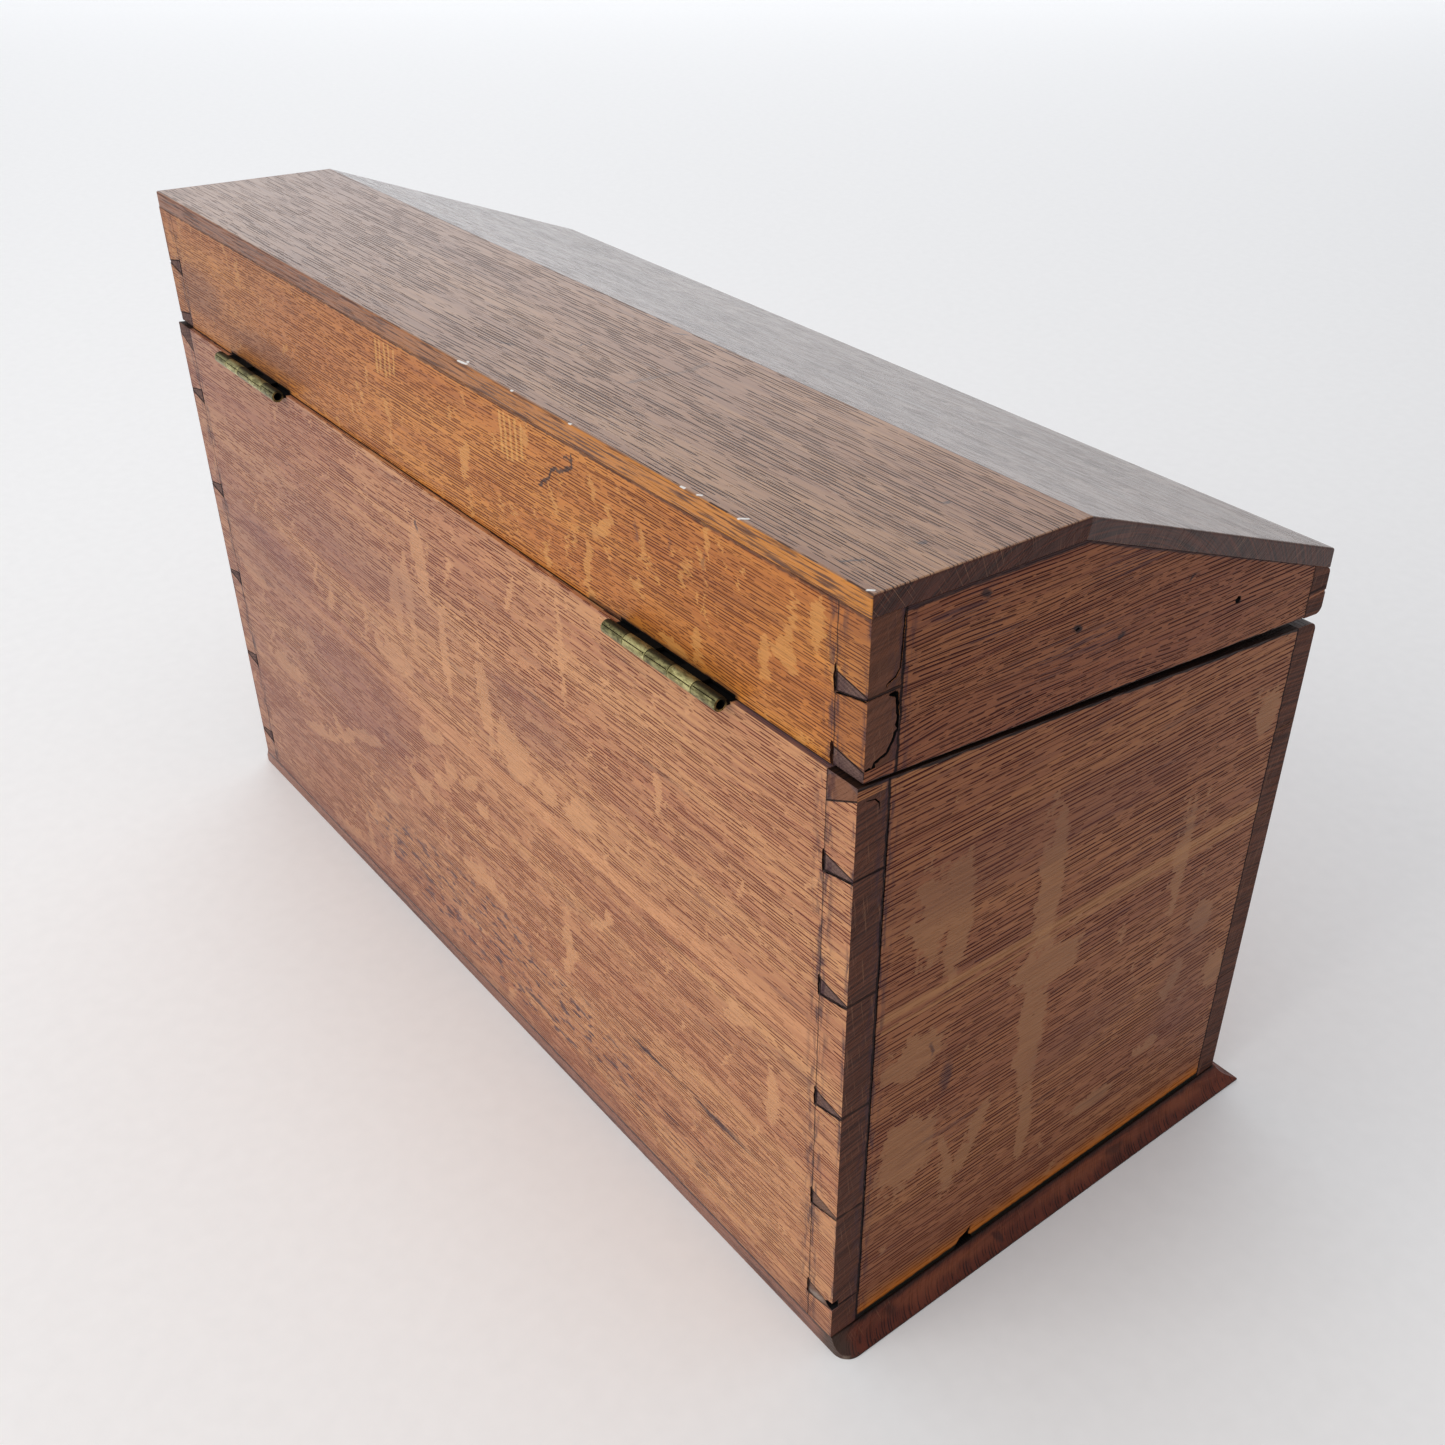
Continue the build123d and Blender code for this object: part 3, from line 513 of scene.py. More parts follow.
@marking
def joints(net, surface, roughness, centres, half_pin_z, line_back, line_front, front_centres):
    """Dark lines where tails and pins meet on the outside faces, with grime bled into the wood beside."""
    x, y, z = net.x, net.y, net.z
    half_tip_z, half_root_z = half_pin_z
    reach_x = net.size(x)
    unsteady = net.noise(y / 3, z / 3, x / 3, detail=3) - 0.5
    bleed = net.cloud(1.5, 1.5, 7, detail=3)
    bleed_reach = 5.0
    on_back = net.faces(1, 1)
    on_end = net.faces(0)
    depth = (half_length - reach_x) / (half_length - inner_half_length)
    in_joint = net.rise(reach_x, inner_half_length - 0.3, inner_half_length)

    half_width = depth * ((pin_root - pin_tip) / 2) + pin_tip / 2
    upper_edge = line_across(net, nearest_of(net, z - half_width, centres), 0.20)
    lower_edge = line_across(net, nearest_of(net, z + half_width, centres) + unsteady * 0.4, 0.42)
    half_edge = line_across(net, z - (depth * (half_root_z - half_tip_z) + half_tip_z), 0.26)
    scribe = line_across(net, reach_x - inner_half_length + unsteady * 0.5, 0.17)
    slot = nearest_of(net, z, centres)
    beside_pin = net.rise(slot, pin_root / 2 + 0.9, pin_root / 2 + 0.3)
    root_edge = line_across(net, reach_x - inner_half_length + unsteady * 0.3, 0.50) * beside_pin
    joint_edges = net.either(net.either(upper_edge, lower_edge), half_edge) * in_joint
    back_lines = net.either(net.either(joint_edges, root_edge), scribe * 0.8) * on_back

    tail_edge = line_across(net, y - line_back + unsteady * 1.1, 0.40)
    front_edge = line_across(net, y - line_front + unsteady * 0.8, 0.28)
    strip_back = net.rise(y, line_back - 0.2, line_back + 0.1)
    strip_front = net.rise(y, line_front + 0.2, line_front - 0.1)
    tips = line_across(net, slot + unsteady * 0.6, 0.42) * strip_back
    front_tips = line_across(net, nearest_of(net, z, front_centres), 0.40) * strip_front * 0.8
    end_lines = net.either(net.either(tail_edge, front_edge), net.either(tips, front_tips)) * on_end

    near_tail = net.rise(net.size(y - line_back), bleed_reach, 0.0) * on_end
    near_scribe = net.rise(net.size(reach_x - inner_half_length), bleed_reach, 0.0) * on_back
    near_arris = net.rise(reach_x, half_length - 1.6, half_length - 0.3) * on_back
    halo = net.either(net.either(near_tail, near_arris), near_scribe) * net.rise(bleed, 0.42, 0.66, 0.8)
    surface = net.blend(halo, surface, plum)
    joint_lines = net.either(back_lines, end_lines)
    return net.blend(joint_lines * 0.93, surface, grime), roughness + joint_lines * 0.3


# ---------------------------------------------------------------- each board's wood and marks

# Pale, plain and deep wood, and the pores.
back_tones = ((203, 146, 99), (184, 123, 85), (153, 92, 69), (94, 22, 10))
lid_tones = ((206, 134, 59), (186, 111, 46), (152, 84, 37), (92, 34, 10))
end_tones = ((161, 104, 64), (148, 91, 58), (122, 66, 45), (62, 3, 2))
lid_end_tones = ((150, 93, 58), (138, 81, 52), (112, 57, 40), (54, 3, 2))
top_tones = ((162, 121, 88), (146, 106, 79), (125, 88, 68), (50, 28, 24))
slope_tones = ((110, 78, 58), (99, 69, 51), (87, 60, 44), (56, 34, 27))
rack_tones = ((214, 172, 124), (196, 152, 104), (168, 122, 80), (120, 78, 50))
base_tones = ((106, 46, 24), (90, 35, 16), (72, 26, 11), (46, 11, 5))

body_joints = joints(body_back_pins, body_half_pin, inner_back_y, inner_front_y, body_front_pins)
# Painted shade inside the body's corner cracks.
body_joint_crack_shade = joint_crack_shade(back_y, inner_back_y, body_joint_zone)
body_end_rim = rim((22, 13, 11), 0.95)
# Dirt and painted shade along the body ends' edge at the lid's gap.
body_end_gap_dirt_and_shade = gap_dirt_and_shade(back_rim_z, rim_slope, -1, 0.9)
lid_joints = joints(lid_pins, lid_half_pin, lid_inner_back_y, lid_inner_front_y, rail_pins)
# Painted shade inside the lid's corner cracks.
lid_joint_crack_shade = joint_crack_shade(lid_back_y, lid_inner_back_y, lid_joint_zone)

# The marks were placed after the photo, and each one is painted over those before it.
back_flecks = [
    (37.5, 113, 12, 5.5), (30.5, 135.5, 3.5, 12.5), (21.5, 139, 3, 16),
    (11.3, 156.8, 4.5, 13.8, -5), (2.3, 130.5, 2.3, 15.5), (-18.8, 124, 3.5, 17.5, -2),
    (-32.5, 114, 9.5, 8.8), (-50, 110.5, 5, 4), (-66.3, 111.8, 8, 4.5, -15),
    (19.5, 93, 9.5, 3, -15), (16.3, 77.3, 6, 2.5, -5), (8.8, 86, 4, 3.5, -40),
    (-2.5, 87.5, 6.5, 3, -30), (-10, 81, 4, 2.5, -20), (-53.8, 56.8, 2.5, 10.5, 8),
    (-73.8, 80.5, 7.5, 2, -45), (-62.5, 160.5, 1.3, 15.5),
    (-102.5, 139.3, 2, 6.5), (132.5, 64.3, 14.5, 4.3), (146.3, 95.5, 11.3, 3.5, 5),
    (110.5, 86.3, 9.5, 2.5, -8), (108.8, 48, 16.5, 2.5, -14), (86.3, 58, 8.5, 3, -35),
    (70, 65.5, 11.3, 2.3, -15), (31.3, 68, 9.5, 3, 25), (56.3, 49.5, 6.5, 2.3, -10),
    (-2.5, 53, 12, 3.2), (-133.8, 90.5, 5.5, 3, -35), (-147.5, 73, 2.5, 8.8),
    (97.5, 11, 12.5, 2.5, -8), (93, 58, 2, 4, -45), (-16, 51.5, 3, 3),
    (62.5, 24, 1.5, 9, 10), (80, 20, 1.8, 12, -10), (72, 31.5, 6, 1.8, -20),
    (6, 27, 10, 1.8, -10),
]
back_streak = (222, 160, 112)
back_marks = (
    lines("xz", [[(172, 107.5), (90, 103.5), (10, 101.5), (-80, 101.8), (-163, 104)]],
          2, back_streak, 0.55, 0.7),
    lines("xz", [[(60, 98.5), (-40, 99), (-163, 99.6)]], 0.8, back_streak, 0.5, 0.6),
    tint_patches("xz", [(72, 84, 48, 24), (130, 110, 40, 14), (60, 140, 60, 12),
                        (-42, 131, 24, 12)], (126, 78, 74), 0.35),
    tint_patches("xz", [(-107, 46, 56, 2.6), (-100, 24, 50, 10)], plum, 0.8, streaky=0.12),
    blotches("xz", (-4, 29, 92, 19), (6.5, 2.3), (66, 46, 60), 0.85),
    tint_patches("xz", [(-124, 45.6, 9.5, 1.1), (-94, 46, 9, 0.9), (10.4, 167.5, 0.8, 1.8),
                        (-32, 20.6, 9, 0.7), (22.5, 21, 3.4, 1)], (52, 30, 44), 0.8),
    shelf_tint("z", 5.5, 14, (118, 72, 60), 0.4, ragged=6.0),
    far_end_shade_and_haze(-60, 170, (124, 84, 80), 0.42),
    rim(covered_to=lid_back_y),
    shelf_tint("x", -134, -131, (100, 76, 80), 0.85, facing=(2, 1)),
    hinge_shadow(178, 190),
    body_joints,
    body_joint_crack_shade,
)

lid_flecks = [
    (-157.5, 210, 1.8, 7, 8), (-148, 199, 4, 3, 40), (-141, 194.5, 2, 5, 10),
    (-83, 202, 6, 1.8, -35), (-76, 190, 2, 6, 10), (-118, 187, 1.5, 4),
    (-122, 214, 1, 5), (-20, 196, 2, 7, 25), (-110, 183.5, 5, 1.5),
]
lid_back_marks = (
    lines("xz", [[(23.2, 216), (24.5, 207)], [(21, 216), (22.2, 208)], [(18.5, 216), (19.6, 207)],
                 [(16, 216), (17, 208)], [(13.5, 215.5), (14.3, 209)],
                 [(-40, 216), (-40, 206)], [(-42, 216), (-42.1, 205)], [(-44.5, 216), (-44.4, 205)],
                 [(-47, 216), (-46.8, 206)], [(-49.5, 215.5), (-49.2, 207)]],
          0.5, (228, 172, 96), 0.5, 0.7, waver=1.4, facing=(1, 1)),
    lines("xz", [[(-71.3, 215.5), (-71, 212.5), (-66.5, 210), (-62, 209), (-60.5, 206), (-56.3, 203)],
                 [(-71.5, 214.5), (-68.5, 213.8)]], 0.42, (54, 36, 34), 0.85, 0.5, waver=2.2, facing=(1, 1)),
    tint_patches("xz", [(-96, 206.5, 0.7, 2.8), (-108.5, 208.5, 0.6, 2), (-121, 209, 0.6, 3),
                        (150, 196, 20, 9), (100, 190, 30, 5)], (96, 56, 50), 0.45),
    far_end_shade_and_haze(-40, 170, (128, 88, 70), 0.42),
    shelf_tint("x", -172, -158, (120, 74, 50), 0.35, ragged=5.0),
    lines("xz", [[(172, 218.2), (60, 218), (-20, 217.8), (-172, 217.9)]],
          0.45, (64, 34, 24), 0.75, 0.6, waver=1.6),
    lines("xz", [[(-131.6, 181.2), (-88.4, 181.2)], [(88.4, 181.2), (131.6, 181.2)],
                 [(-88, 181), (-76, 181)]], 0.9, (52, 32, 30), 0.75, 0.7, waver=1.0),
    hinge_shadow(178, 181.8),
    lid_joints,
    lid_joint_crack_shade,
)

end_flecks = [
    (46, 131.3, 4.5, 19), (54.5, 135, 6, 14), (14.6, 125, 4.3, 24),
    (11.6, 97, 13, 7, 8), (14.6, 75, 5, 22.5), (-38, 107.5, 3, 20),
    (-64.2, 142, 5, 6.8), (57, 92.5, 11, 6.5), (56.5, 60, 10.5, 12.5),
    (-53.5, 78, 4.5, 6), (-65.5, 52.5, 5, 7.5), (-17.2, 30, 9, 3),
    (-38.5, 38, 5.5, 2.3), (32.8, 50, 2.8, 14, 22), (42, 44, 2.5, 11, -12),
    (12, 40, 2.5, 14), (-45, 60, 3, 8, 20),
]
end_streak = (176, 124, 80)
end_marks = (
    lines("yz", [[(68, 111.3), (0, 109.2), (-71, 108.8)]], 1.3, end_streak, 0.6, 0.7),
    lines("yz", [[(68, 107.4), (10, 106.6), (-60, 105.2)]], 0.6, end_streak, 0.5, 0.6),
    tint_patches("yz", [(45, 78.8, 2.2, 5.5, 8), (51, 92, 0.7, 2.6, -10)], plum, 0.6),
    tint_patches("yz", [(-6, 62, 24, 9), (-50, 60, 12, 30), (20, 142, 60, 12)], (96, 50, 46), 0.3),
    shelf_tint("z", 5, 13.5, (206, 116, 24), 0.85, facing=(0, -1), ragged=4.0),
    # Painted shadow and dirt in the gap above the base, along the foot of the end.
    lines("yz", [[(79, 6.3), (-78, 6.3)]], 1.15, (18, 20, 14), 1, 0.4, waver=0.8, facing=(0, -1)),
    body_end_rim,
    body_end_gap_dirt_and_shade,
    tint_patches("xz", [(-168.2, 176.8, 5.2, 3.9)], (138, 92, 66), 0.75, soft=0.2, facing=(1, 1)),
    body_joints,
    tint_patches("xz", [(-168.2, 52.3, 5, 3), (-168.2, 17.4, 5, 3)],
                 (130, 98, 80), 0.55, soft=0.3, facing=(1, 1)),
    tint_patches("xz", [(-166.6, 16.6, 3.2, 1.2, -12)], (156, 144, 134), 0.7, soft=0.8, facing=(1, 1)),
    body_joint_crack_shade,
    pits([(24, 35.5, 5, 12.5)]),
)

# The photo doesn't show the right ends, so they have only what both ends share.
right_end_marks = (body_end_rim, body_end_gap_dirt_and_shade, body_joints)
lid_right_end_marks = (
    lines("yz", [[(78, 217.6), (17.8, 215.7), (-74, 180.9)]], 0.6, (40, 22, 26), 0.9, 0.5),
    rim((22, 13, 11), 0.94),
    gap_dirt_and_shade(back_rim_z + lid_gap_back, rim_slope - lid_gap_slope, 1, 0.7),
    lid_joints,
    lid_joint_crack_shade,
)
lid_left_end_marks = (
    tint_patches("yz", [(-40.2, 182.5, 1.3, 1.1), (17.8, 195, 1.4, 0.8)], (40, 22, 22), 0.95, soft=0.5),
    tint_patches("yz", [(52, 212, 14, 4), (20, 190, 22, 6), (44, 203, 12, 2), (-4, 206, 22, 6),
                        (2.8, 188.1, 2, 1.2, -30), (56, 210, 2.4, 0.9, 20)], plum, 0.6, streaky=0.25),
    tint_patches("yz", [(2.8, 188.1, 1.6, 1.1, -30), (47.5, 213.5, 1.5, 1, 20), (-20, 195, 2.4, 0.6, -15)],
                 (40, 22, 26), 0.85, soft=0.6),
    *lid_right_end_marks,
    pits([(-41.8, -38.4, 181, 184), (16.6, 19.2, 194, 196)]),
)

base_marks = (
    # Painted shade: the bottom edge, and with it the underside, near black.
    shelf_tint("z", 0, 0.9, (24, 10, 10), 0.9, ragged=0.5),
    tint_patches("yz", [(40, 3, 26, 1.6), (-20, 3, 30, 1.4), (-60, 3, 14, 1.4)],
                 (140, 76, 46), 0.5, soft=0.9),
    # Painted shadow and dirt in the gap where the end board stands on the base.
    lines("xy", [[(-172.4, 79), (-172.4, -77)]], 0.9, (12, 10, 8), 0.9, 0.6, waver=0.6),
    # Painted shade: black on the base in the chip of the end board above it.
    lines("xy", [[(-170.8, 34), (-170.8, 28)]], 1.8, (10, 8, 8), 1, 0.3, waver=0.4),
    tint_patches("yz", [(60, 3, 3, 1.4, 20), (20, 2.5, 1.5, 1), (-30, 3, 5, 1)], (40, 16, 16), 0.6),
    shelf_tint("z", 10, 20, (150, 104, 86), 0.85, facing=(1, 1)),
    lines("xz", [[(172, 5.2), (-172, 5.2)]], 0.55, (52, 34, 38), 0.85, 0.6, waver=1.2, facing=(1, 1)),
    # Painted shade along the bottom edge of the base.
    tint_patches("xz", [(-150, 1.5, 22, 1.3), (-60, 1, 50, 1), (60, 1.2, 60, 1)],
                 (66, 42, 44), 0.7, soft=0.9),
    tint_patches("xy", [(-174, 79, 7, 5)], (62, 46, 38), 0.9, soft=0.8),
    tint_patches("xy", [(-176.5, 82, 1.6, 0.8, 30), (-173.5, 83, 1.2, 0.5), (-177.5, 78, 0.6, 1.2)],
                 (128, 112, 98), 0.7, soft=0.8),
    shelf_tint("z", 10, 20, (128, 78, 50), 0.85, facing=(2, -1)),
)

chipped_arris = [
    [(-21.4, 77.6), (-24.9, 77.2)], [(-23.4, 76), (-24, 76.3)], [(-113.2, 77.6), (-114.2, 77.5)],
    [(-118.6, 77.3), (-119.2, 76.9)], [(-132.4, 77.5), (-133.5, 76.2)], [(-170.3, 77.2), (-171, 76.4)],
    [(-46, 77.6), (-46.5, 77.5)], [(-71, 77.7), (-71.5, 77.6)],
]
# The undersides of the top boards lie wholly below the height where this tint starts to fade.
inner_face = shelf_tint("z", 300, 400, (158, 108, 72), 0.65, facing=(2, -1))
top_rear_marks = (
    far_end_shade_and_haze(-60, 170, (142, 126, 120), 0.35),
    inner_face,
    edge_strip(1, 1, (198, 126, 48), (140, 92, 66), (72, 36, 24)),
    lines("xy", [[(-57, 52), (-57.6, 42), (-58.4, 36), (-56.6, 28)]],
          0.7, (112, 84, 66), 0.7, 0.7, waver=1.6),
    tint_patches("xy", [(-28.3, 46.5, 0.5, 1.6), (-161.2, 55, 1.2, 1.2), (-150.5, 37.6, 0.9, 1),
                        (-17.5, 61, 2.5, 0.4, 20), (-35, 20.4, 2, 0.5, 30)], (62, 50, 52), 0.75, soft=0.6),
    lines("xy", [[(-158.5, 73.5), (-160.5, 69.5)]], 0.35, (70, 60, 60), 0.7, 0.5),
    lines("xy", chipped_arris, 0.34, (228, 224, 220), 0.95, 0.5, waver=0.7, facing=(2, 1)),
)

front_flecks = [(-98, 88, 4, 18, 4), (-86, 104, 3, 12, -3), (-40, 60, 11, 3, -20),
                (12, 112, 3.5, 15, 6), (24, 96, 8, 5), (66, 70, 3, 16, -6),
                (104, 118, 5, 10), (122, 52, 12, 3, 12), (-132, 40, 9, 3, -14)]

pin_ends = ((90, 68, 64), (118, 92, 84))
top_ends = ((44, 14, 6), (84, 38, 22))
base_ends = ((80, 36, 24), (104, 50, 34))
back_wood = dict(grain="x", tones=back_tones, fleck_tone=(208, 150, 104), ray_tilt=0.5, long=1.5, stain=0.3)
end_wood = dict(grain="y", tones=end_tones, pore=1.3, stain=0.35, sheen=0.13, end_pair=pin_ends)
lid_end_wood = dict(grain="y", tones=lid_end_tones, pore=1.05, dense=0.06, stain=0.3, sheen=0.13,
                    end_pair=pin_ends)
top_wood = dict(grain="x", flat=True, heart=(20.0, 150.0), end_pair=top_ends, ray_share=0.6)
rack_wood = dict(tones=rack_tones, stain=0.1)

oak_looks = {
    "back_board": dict(**back_wood, seed=1, ray=0.3, pore=0.92, flecks=("xz", back_flecks),
                       marks=back_marks),
    "left_end": dict(**end_wood, seed=2, ray=0.2, fleck_tone=(158, 109, 73), dense=0.065, long=1.4, wave=3.0,
                     flecks=("yz", end_flecks), marks=end_marks),
    "right_end": dict(**end_wood, seed=3, ray=0.7, dense=0.05, marks=right_end_marks),
    "front_board": dict(**back_wood, seed=4, ray=0.35, pore=0.9, flecks=("xz", front_flecks),
                        marks=(rim(), body_joints)),
    "lid_back": dict(grain="x", tones=lid_tones, seed=5, fleck_tone=(206, 142, 74), pore=0.8, dense=0.02,
                     stain=0.12, flecks=("xz", lid_flecks), marks=lid_back_marks),
    "lid_left_end": dict(**lid_end_wood, seed=6, ray=0.1, wave=14.0, marks=lid_left_end_marks),
    "lid_right_end": dict(**lid_end_wood, seed=7, ray=0.4, marks=lid_right_end_marks),
    "lid_front_rail": dict(grain="x", tones=back_tones, seed=8, stain=0.3, marks=(lid_joints,)),
    "lid_top_rear": dict(**top_wood, tones=top_tones, seed=9, ray=0.05, long=2.6, wave=3.0, stain=0.2,
                         gloss=0.30, sheen=0.42, marks=top_rear_marks),
    "lid_top_front": dict(**top_wood, tones=slope_tones, seed=10, ray=0.6, long=2.0, wave=16.0, stain=0.1,
                          gloss=0.24, sheen=0.6, coat=0.15, marks=(inner_face,)),
    "base_board": dict(grain="x", flat=True, tones=base_tones, seed=11, ray=0.2, stain=0.2, gloss=0.30,
                       end_pair=base_ends, marks=base_marks),
    "rear_divider": dict(**rack_wood, grain="x", seed=12),
    "middle_divider": dict(**rack_wood, grain="x", seed=13),
    "front_divider": dict(**rack_wood, grain="x", seed=14),
    "centre_partition": dict(**rack_wood, grain="y", seed=15),
}


# ---------------------------------------------------------------- worn boards


def shape_tree(mesh):
    return BVHTree.FromPolygons([v.co for v in mesh.vertices], [tuple(p.vertices) for p in mesh.polygons])


def ragged_run(run, half_width, seed, step=0.9, fray=0.5, narrow=0.35, sway_share=0.7):
    """The outline of an open crack along a run of points, narrow at both ends."""
    chance = random.Random(seed)
    points = []
    for start, stop in zip(run, run[1:]):
        first, last = Vector(start), Vector(stop)
        count = max(1, round((last - first).length / step))
        points += [first.lerp(last, i / count) for i in range(count)]
    points.append(Vector(run[-1]))
    left, right = [], []
    for i, point in enumerate(points):
        ahead = points[min(i + 1, len(points) - 1)] - points[max(i - 1, 0)]
        side = Vector((-ahead.y, ahead.x)).normalized()
        at_end = i in (0, len(points) - 1)
        wide = half_width * (narrow if at_end else 1.0 - fray / 2 + fray * chance.random())
        sway = (chance.random() - 0.5) * half_width * sway_share
        left.append(point + side * (sway + wide))
        right.append(point + side * (sway - wide))
    return left + right[::-1]


# Places on a face from two coordinates u and v along it and a depth w below it.
def on_left_end(u, v, w):
    return (-half_length + w, u, v)


def on_back(u, v, w):
    return (u, back_y - w, v)


def on_lid_back(u, v, w):
    return (u, lid_back_y - w, v)


class Cut:
    """A prism to be taken out of a board: an outline on one of its faces and a depth below it."""

    def __init__(self, outline, place, depth, proud=0.8):
        self.outline, self.place, self.depth, self.proud = outline, place, depth, proud

    def add_to(self, form):
        rings = []
        for w in (-self.proud, self.depth):
            rings.append([form.verts.new(Vector(self.place(p[0], p[1], w)) * MM) for p in self.outline])
        near, deep = rings
        form.faces.new(near)
        form.faces.new(deep[::-1])
        for i, start in enumerate(near):
            j = (i + 1) % len(near)
            form.faces.new((start, deep[i], deep[j], near[j]))


def crack(run, half_width, place, depth, seed):
    return Cut(ragged_run(run, half_width, seed), place, depth)


def hinge_seam(centre_x, knuckle, lean):
    """The line along a knuckle where its rolled sheet closes, lean degrees up from straight back."""
    end_gap, other_end_gap = 0.25, 0.45
    start = centre_x - hinge_length / 2 + knuckle * knuckle_pitch + end_gap
    stop = start + knuckle_pitch - end_gap - other_end_gap
    out_y, out_z = math.cos(math.radians(lean)), math.sin(math.radians(lean))

    def place(u, v, w):
        reach = barrel_radius - w
        return (u, hinge_y + out_y * reach - out_z * v, hinge_z + out_z * reach + out_y * v)
    return Cut([(start, -0.09), (stop, -0.12), (stop, 0.09), (start, 0.12)], place, 0.34, 0.4)


# Outlines of the holes and chips, and the runs of the cracks, on the board's face in millimetres.
corner_hole = [(-173.2, 16.3), (-171.4, 16.5), (-170.2, 17.1), (-169.6, 18.0), (-170.6, 18.9), (-173.2, 19.6)]
base_chip = [(34.4, 5.2), (34.2, 7.0), (33.1, 8.9), (31.8, 9.3), (30.4, 10.0), (28.6, 11.7), (29.0, 9.6),
             (29.3, 8.0), (28.4, 7.2), (27.6, 5.2)]
knot_hole = [(-41.3, 182.2), (-40.4, 181.5), (-39.3, 181.9), (-38.9, 182.8), (-39.9, 183.6), (-41.0, 183.2)]
small_hole = [(17.1, 194.8), (18.3, 194.5), (18.8, 195.1), (17.7, 195.5)]

pin_roots = [(z - pin_root / 2, z + pin_root / 2) for z in body_back_pins]
cuts = {
    "lid_back": [
        crack([(70.25, 199.8), (69.95, 197.4), (69.55, 194), (69.45, 190.9), (71.25, 187.4), (72.05, 186.1),
               (75.05, 184.8), (75.85, 183.5), (77.75, 184.1)], 0.5, on_left_end, 2.4, 1),
        crack([(72.25, 199.9), (71.05, 199.3), (70.25, 198.3)], 0.62, on_left_end, 2.6, 2),
        crack([(69.35, 217.0), (69.45, 211), (69.75, 204.8), (70.85, 203.2), (73.15, 202.2), (73.05, 201.5)],
              0.24, on_left_end, 1.6, 3),
        crack([(-162.95, 204.4), (-162.9, 201), (-162.95, 197.9)], 0.34, on_lid_back, 1.8, 4),
        crack([(-162.9, 186.4), (-162.85, 183), (-162.9, 180.4)], 0.45, on_lid_back, 2.0, 5),
        crack([(-163.4, 197.9), (-168, 199.2), (-172.3, 199.9)], 0.26, on_lid_back, 1.2, 6),
    ],
    "back_board": [
        crack([(76.85, 176.4), (74.45, 175.9), (73.15, 174.4), (72.85, 172.6)], 0.2, on_left_end, 1.2, 7),
        Cut(corner_hole, on_back, 2.2),
        *(crack([(-162.95, top + 0.9), (-162.9, (low + top) / 2), (-162.95, low - 0.5)], 0.3, on_back, 1.6, i)
          for i, (low, top) in enumerate(pin_roots, 10)),
        *(crack([(-163.4, low - 0.25), (-168, low + 0.75), (-172.3, low + 1.62)], 0.22, on_back, 1.1, i)
          for i, (low, top) in enumerate(pin_roots[1:], 20)),
    ],
    "left_end": [
        Cut(base_chip, on_left_end, 2.6),
        Cut(corner_hole, on_back, 2.2),
        crack([(70.2, 171), (70.25, 140), (70.1, 100), (70.25, 60), (70.15, 16)], 0.2, on_left_end, 1.0, 30),
    ],
    "lid_left_end": [Cut(knot_hole, on_left_end, 1.6), Cut(small_hole, on_left_end, 1.0)],
}
body_leaf_seams = ((0, 44), (2, 30), (4, 38))
lid_leaf_seams = ((1, 26), (3, 34))
for side, centre_x in (("left", -hinge_centre_x), ("right", hinge_centre_x)):
    for leaf, seams in (("body", body_leaf_seams), ("lid", lid_leaf_seams)):
        cuts[f"hinge_{side}_{leaf}_leaf"] = [hinge_seam(centre_x, knuckle, lean) for knuckle, lean in seams]

trees = {name: shape_tree(obj.data) for name, obj in nodes.items() if name in oak_looks}
flat_angle = math.radians(0.6)
sharp_angle = math.radians(25)
smooth_angle = math.radians(35)
same_point = 0.001 * MM
touching = 0.06 * MM
widest_bevel = 1.0 * MM
joint_bevel = 0.14 * MM
worn_bevel = 0.55 * MM
metal_bevel = 0.13 * MM


def carve(piece, taken):
    """Takes the cuts out of the piece and returns the cutters' surface."""
    form = bmesh.new()
    for cut in taken:
        cut.add_to(form)
    bmesh.ops.recalc_face_normals(form, faces=form.faces)
    mesh = bpy.data.meshes.new("cutter")
    form.to_mesh(mesh)
    form.free()
    cutter = bpy.data.objects.new("cutter", mesh)
    bpy.context.scene.collection.objects.link(cutter)
    boolean = piece.modifiers.new("cut", "BOOLEAN")
    boolean.operation = "DIFFERENCE"
    boolean.solver = "EXACT"
    boolean.use_self = True
    boolean.object = cutter
    evaluated = piece.evaluated_get(bpy.context.evaluated_depsgraph_get())
    carved = bpy.data.meshes.new_from_object(evaluated)
    piece.modifiers.clear()
    piece.data = carved
    surface = shape_tree(mesh)
    bpy.data.objects.remove(cutter)
    bpy.data.meshes.remove(mesh)
    return surface


